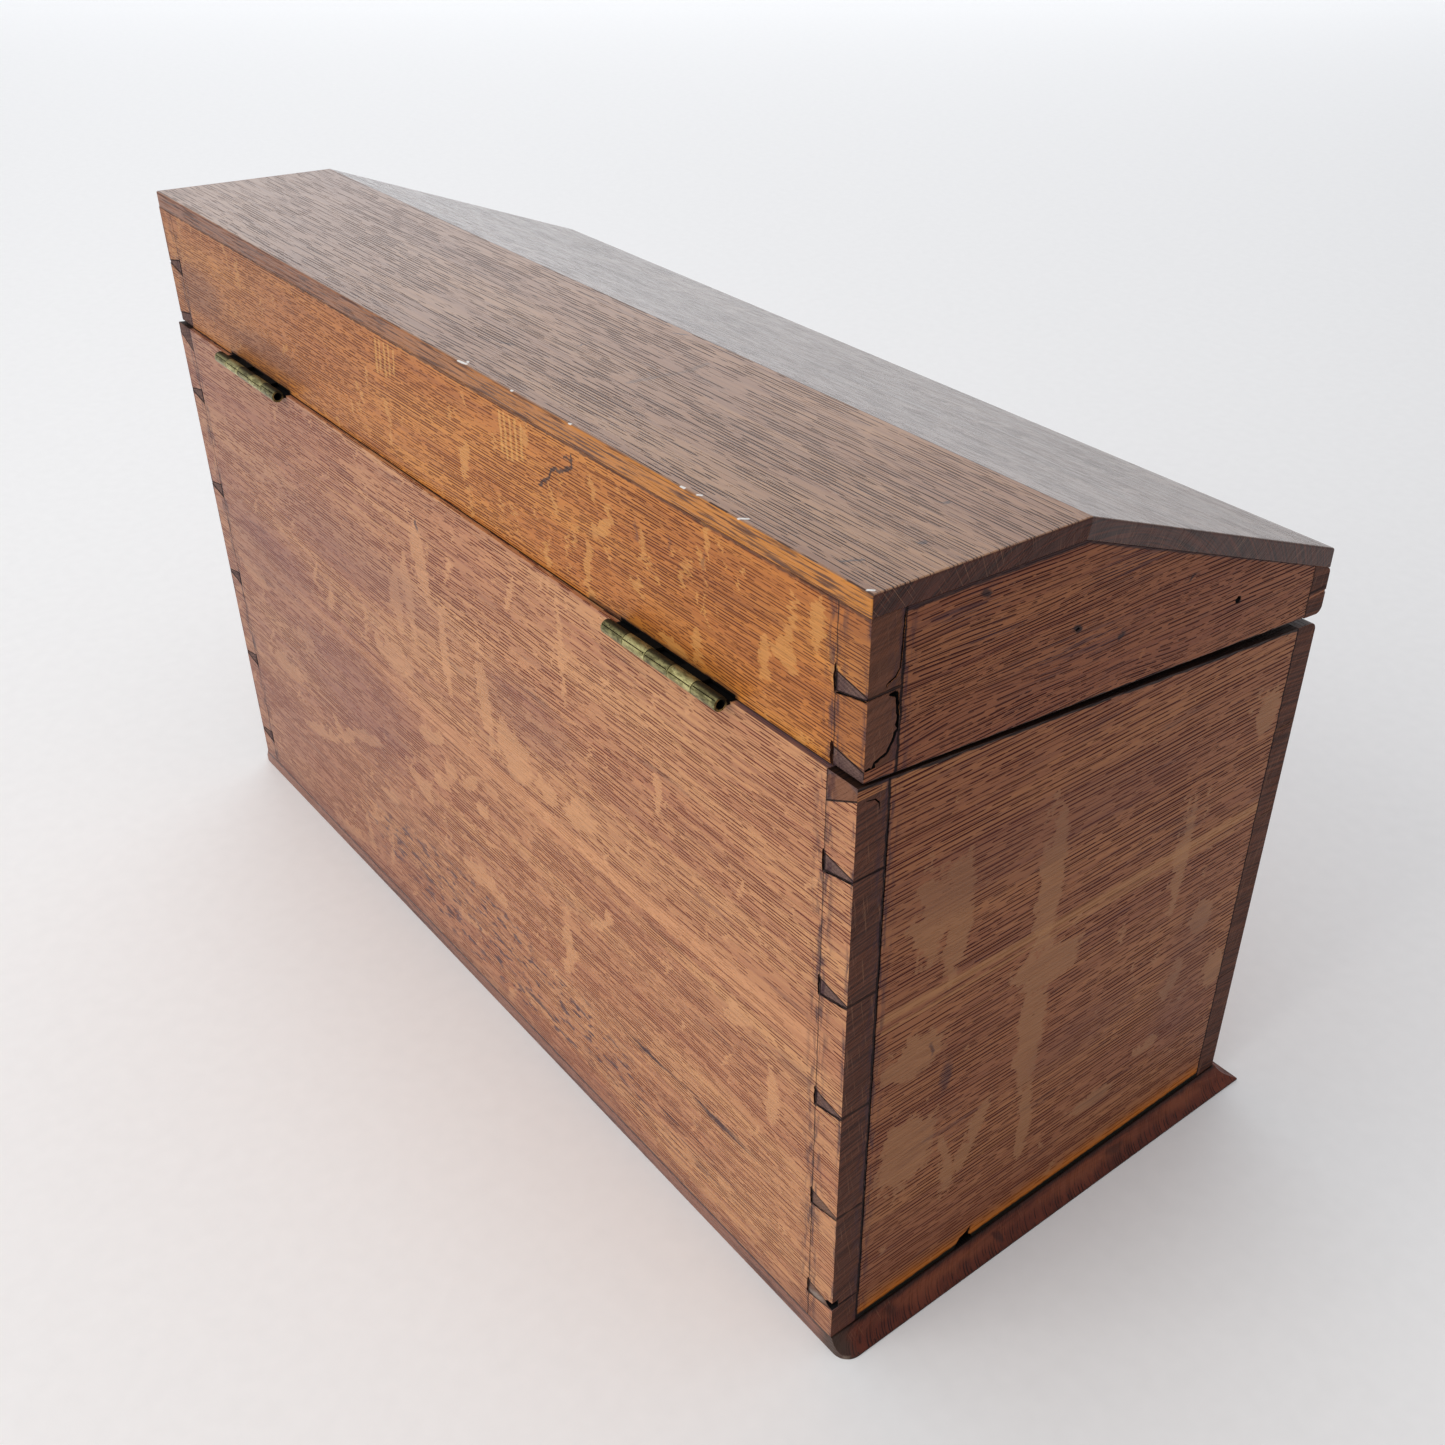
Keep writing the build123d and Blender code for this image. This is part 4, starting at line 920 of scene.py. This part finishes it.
def dressed(name, worn=worn_bevel):
    """The part with worn outer arrises, fine ones where it meets a neighbour, and its cracks and chips."""
    form = bmesh.new()
    form.from_mesh(nodes[name].data)
    bmesh.ops.remove_doubles(form, verts=form.verts, dist=same_point)
    bmesh.ops.dissolve_limit(form, angle_limit=flat_angle, verts=form.verts, edges=form.edges)
    mesh = bpy.data.meshes.new(name + "_worn")
    form.to_mesh(mesh)
    form.free()
    piece = bpy.data.objects.new(name + "_worn", mesh)
    bpy.context.scene.collection.objects.link(piece)
    cut_surface = carve(piece, cuts[name]) if name in cuts else None

    form = bmesh.new()
    form.from_mesh(piece.data)
    weight = form.edges.layers.float.new("bevel_weight_edge")
    others = [tree for other, tree in trees.items() if other != name]
    for edge in form.edges:
        if len(edge.link_faces) != 2 or edge.calc_face_angle(0.0) < sharp_angle:
            continue
        middle = (edge.verts[0].co + edge.verts[1].co) / 2
        if cut_surface and cut_surface.find_nearest(middle, touching)[0] is not None:
            continue
        met = any(tree.find_nearest(middle, touching)[0] is not None for tree in others)
        edge[weight] = (joint_bevel if met else worn) / widest_bevel
    for face in form.faces:
        face.smooth = True
    form.to_mesh(piece.data)
    form.free()
    piece.data.set_sharp_from_angle(angle=smooth_angle)
    bevel = piece.modifiers.new("arris", "BEVEL")
    bevel.width = widest_bevel
    bevel.limit_method = "WEIGHT"
    bevel.segments = 3
    bevel.use_clamp_overlap = True
    piece.modifiers.new("shading", "WEIGHTED_NORMAL").keep_sharp = True
    return piece


def body_of(name):
    return "lid" if name.startswith("lid") or "_lid_" in name else "body"


# ---------------------------------------------------------------- metal


metal_relief = 0.04
bore_radius = 1.3
# Painted shade: near-black for a hinge's plate behind the barrel, its seams and its bore.
hinge_shade_black = (8, 7, 6)


def metal(name, bright, dull, dark, wear_size, gloss, top_dirt_and_shade=None):
    """Old metal: patina in patches, drawn lines and fine pits. The last value is how dark a hinge barrel's
    upper side gets from dirt and painted shade; with it come painted shade on the plate behind the barrel, in
    the seams and in the bore.
    """
    net = Net(name)
    patina = net.cloud(wear_size, wear_size * 0.4, wear_size * 0.4, detail=4, roughness=0.7)
    speck = net.cloud(0.55, 0.3, 0.3, detail=2)
    scratch = net.cloud(5, 0.12, 0.12, detail=2)
    colour = net.blend(net.rise(patina, 0.38, 0.60), dull, bright)
    colour = net.blend(net.rise(scratch, 0.52, 0.66, 0.6), colour, dull)
    colour = net.blend(net.rise(speck, 0.62, 0.72, 0.85), colour, dark)
    roughness = gloss + (1.0 - patina) * 0.3 + scratch * 0.1
    if top_dirt_and_shade:
        along_y, along_z = net.y - hinge_y, net.z - hinge_z
        radius = net.math("SQRT", along_y * along_y + along_z * along_z)
        near_barrel = net.rise(radius, 6.0, 4.4)
        # Dirt and painted shade on the barrel's upper side.
        upward = along_z * 0.72 - along_y * 0.69
        upper = net.rise(upward + (patina - 0.5) * 2.2, 0.3, 1.1, top_dirt_and_shade) * near_barrel
        colour = net.blend(upper, colour, dark)
        # Painted shade on the plate behind the barrel, in the seams and in the bore.
        plate = net.rise(radius, barrel_radius + 0.02, barrel_radius + 0.1) * near_barrel
        off_ends = net.rise(net.size(net.facing[0]), 0.6, 0.4)
        seam = net.rise(radius, barrel_radius - 0.06, barrel_radius - 0.16) * off_ends
        bore = net.rise(radius, bore_radius, bore_radius - 0.12)
        painted_shade = net.either(net.either(plate, seam), bore)
        colour = net.blend(painted_shade, colour, hinge_shade_black)
        roughness = roughness + painted_shade * 0.5 + upper * 0.3
    height = scratch * 0.5 + speck * 0.5
    return net.finish(colour, roughness, height, metal_relief, Metallic=0.75)


metals = {
    "hinge_body": metal("hinge_brass_body", (160, 153, 104), (92, 86, 54), (24, 21, 15), 3.0, 0.18, 0.9),
    "hinge_lid": metal("hinge_brass_lid", (200, 192, 134), (128, 120, 76), (26, 23, 16), 3.0, 0.17, 0.45),
    "lock_brass": metal("lock_brass_aged", (196, 164, 96), (150, 118, 62), (70, 52, 30), 4.0, 0.26),
    "screw_brass": metal("screw_brass_aged", (178, 146, 86), (130, 104, 58), (58, 44, 28), 1.5, 0.28),
    "screw_steel": metal("screw_steel_dark", (120, 112, 104), (76, 70, 66), (34, 28, 26), 1.5, 0.35),
}


def give(obj, material):
    obj.data.materials.clear()
    obj.data.materials.append(material)


def stand_in(name, material, worn):
    """The dressed copy that takes a part's place."""
    piece = dressed(name, worn)
    give(piece, material)
    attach(piece, body_of(name))
    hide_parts(name)


def metal_of(name):
    if name.startswith("hinge") and "screws" not in name:
        return "hinge_lid" if "_lid_" in name else "hinge_body"
    if name == "base_screws":
        return "screw_steel"
    return "screw_brass" if "screws" in name else "lock_brass"


for name, obj in nodes.items():
    if name in oak_looks:
        stand_in(name, oak("oak_" + name, **oak_looks[name]), worn_bevel)
    elif name in cuts:
        stand_in(name, metals[metal_of(name)], metal_bevel)
    else:
        give(obj, metals[metal_of(name)])
        bevel = obj.modifiers.new("arris", "BEVEL")
        bevel.width = metal_bevel
        bevel.limit_method = "ANGLE"
        bevel.angle_limit = sharp_angle
        bevel.segments = 2


# ---------------------------------------------------------------- studio

floor_half = 3.0
floor_corners = [(x * floor_half, y * floor_half, 0) for x, y in ((-1, -1), (1, -1), (1, 1), (-1, 1))]
floor_mesh = bpy.data.meshes.new("floor")
floor_mesh.from_pydata(floor_corners, [], [(0, 1, 2, 3)])
floor = bpy.data.objects.new("floor", floor_mesh)
bpy.context.scene.collection.objects.link(floor)
floor_net = Net("floor_pale")
floor_grain = floor_net.noise(floor_net.x / 6, floor_net.y / 6, floor_net.z, detail=3)
floor_colour = floor_net.blend(floor_grain, (240, 239, 238), (246, 245, 244))
floor_mesh.materials.append(floor_net.finish(floor_colour, 0.6, floor_grain, 0.02))

world = bpy.data.worlds.new("studio")
bpy.context.scene.world = world
world.use_nodes = True
background = world.node_tree.nodes["Background"]
background.inputs["Color"].default_value = (0.93, 0.95, 1.0, 1.0)
background.inputs["Strength"].default_value = 0.5


def soft_light(name, position, target, width, height, power, colour):
    light = bpy.data.lights.new(name, "AREA")
    light.shape = "RECTANGLE"
    light.size = width
    light.size_y = height
    light.energy = power
    light.color = colour
    lamp = bpy.data.objects.new(name, light)
    lamp.location = position
    lamp.rotation_euler = (Vector(target) - Vector(position)).to_track_quat("-Z", "Y").to_euler()
    bpy.context.scene.collection.objects.link(lamp)


box_middle = (0.0, 0.0, 0.11)
soft_light("window", (0.3, 1.7, 1.2), box_middle, 1.4, 1.2, 16.0, (1.0, 0.97, 0.93))
soft_light("far_screen", (2.1, -1.6, 0.8), box_middle, 3.6, 1.5, 23.0, (0.94, 0.97, 1.0))
soft_light("ceiling", (0.1, 0.5, 2.2), box_middle, 2.5, 2.5, 16.0, (1.0, 1.0, 1.0))

# The camera, fitted to the box's corners in the photo; pixel values in the photo's own pixels.
image_side = 1445
camera_focal_px = 1566.5
camera_principal_x = 768.4
camera_principal_y = 761.4
camera_position = (-0.35557, 0.25116, 0.35935)
camera_pitch = 55.460
camera_roll = -0.462
camera_heading = -128.849
sensor_width = 36.0

camera_data = bpy.data.cameras.new("camera")
camera = bpy.data.objects.new("camera", camera_data)
bpy.context.scene.collection.objects.link(camera)
camera.location = camera_position
camera.rotation_euler = [math.radians(a) for a in (camera_pitch, camera_roll, camera_heading)]
camera_data.sensor_width = sensor_width
camera_data.lens = camera_focal_px * sensor_width / image_side
camera_data.shift_x = (image_side / 2 - camera_principal_x) / image_side
camera_data.shift_y = (camera_principal_y - image_side / 2) / image_side
camera_data.clip_start = 0.01
bpy.context.scene.camera = camera
bpy.context.scene.view_settings.view_transform = "Standard"
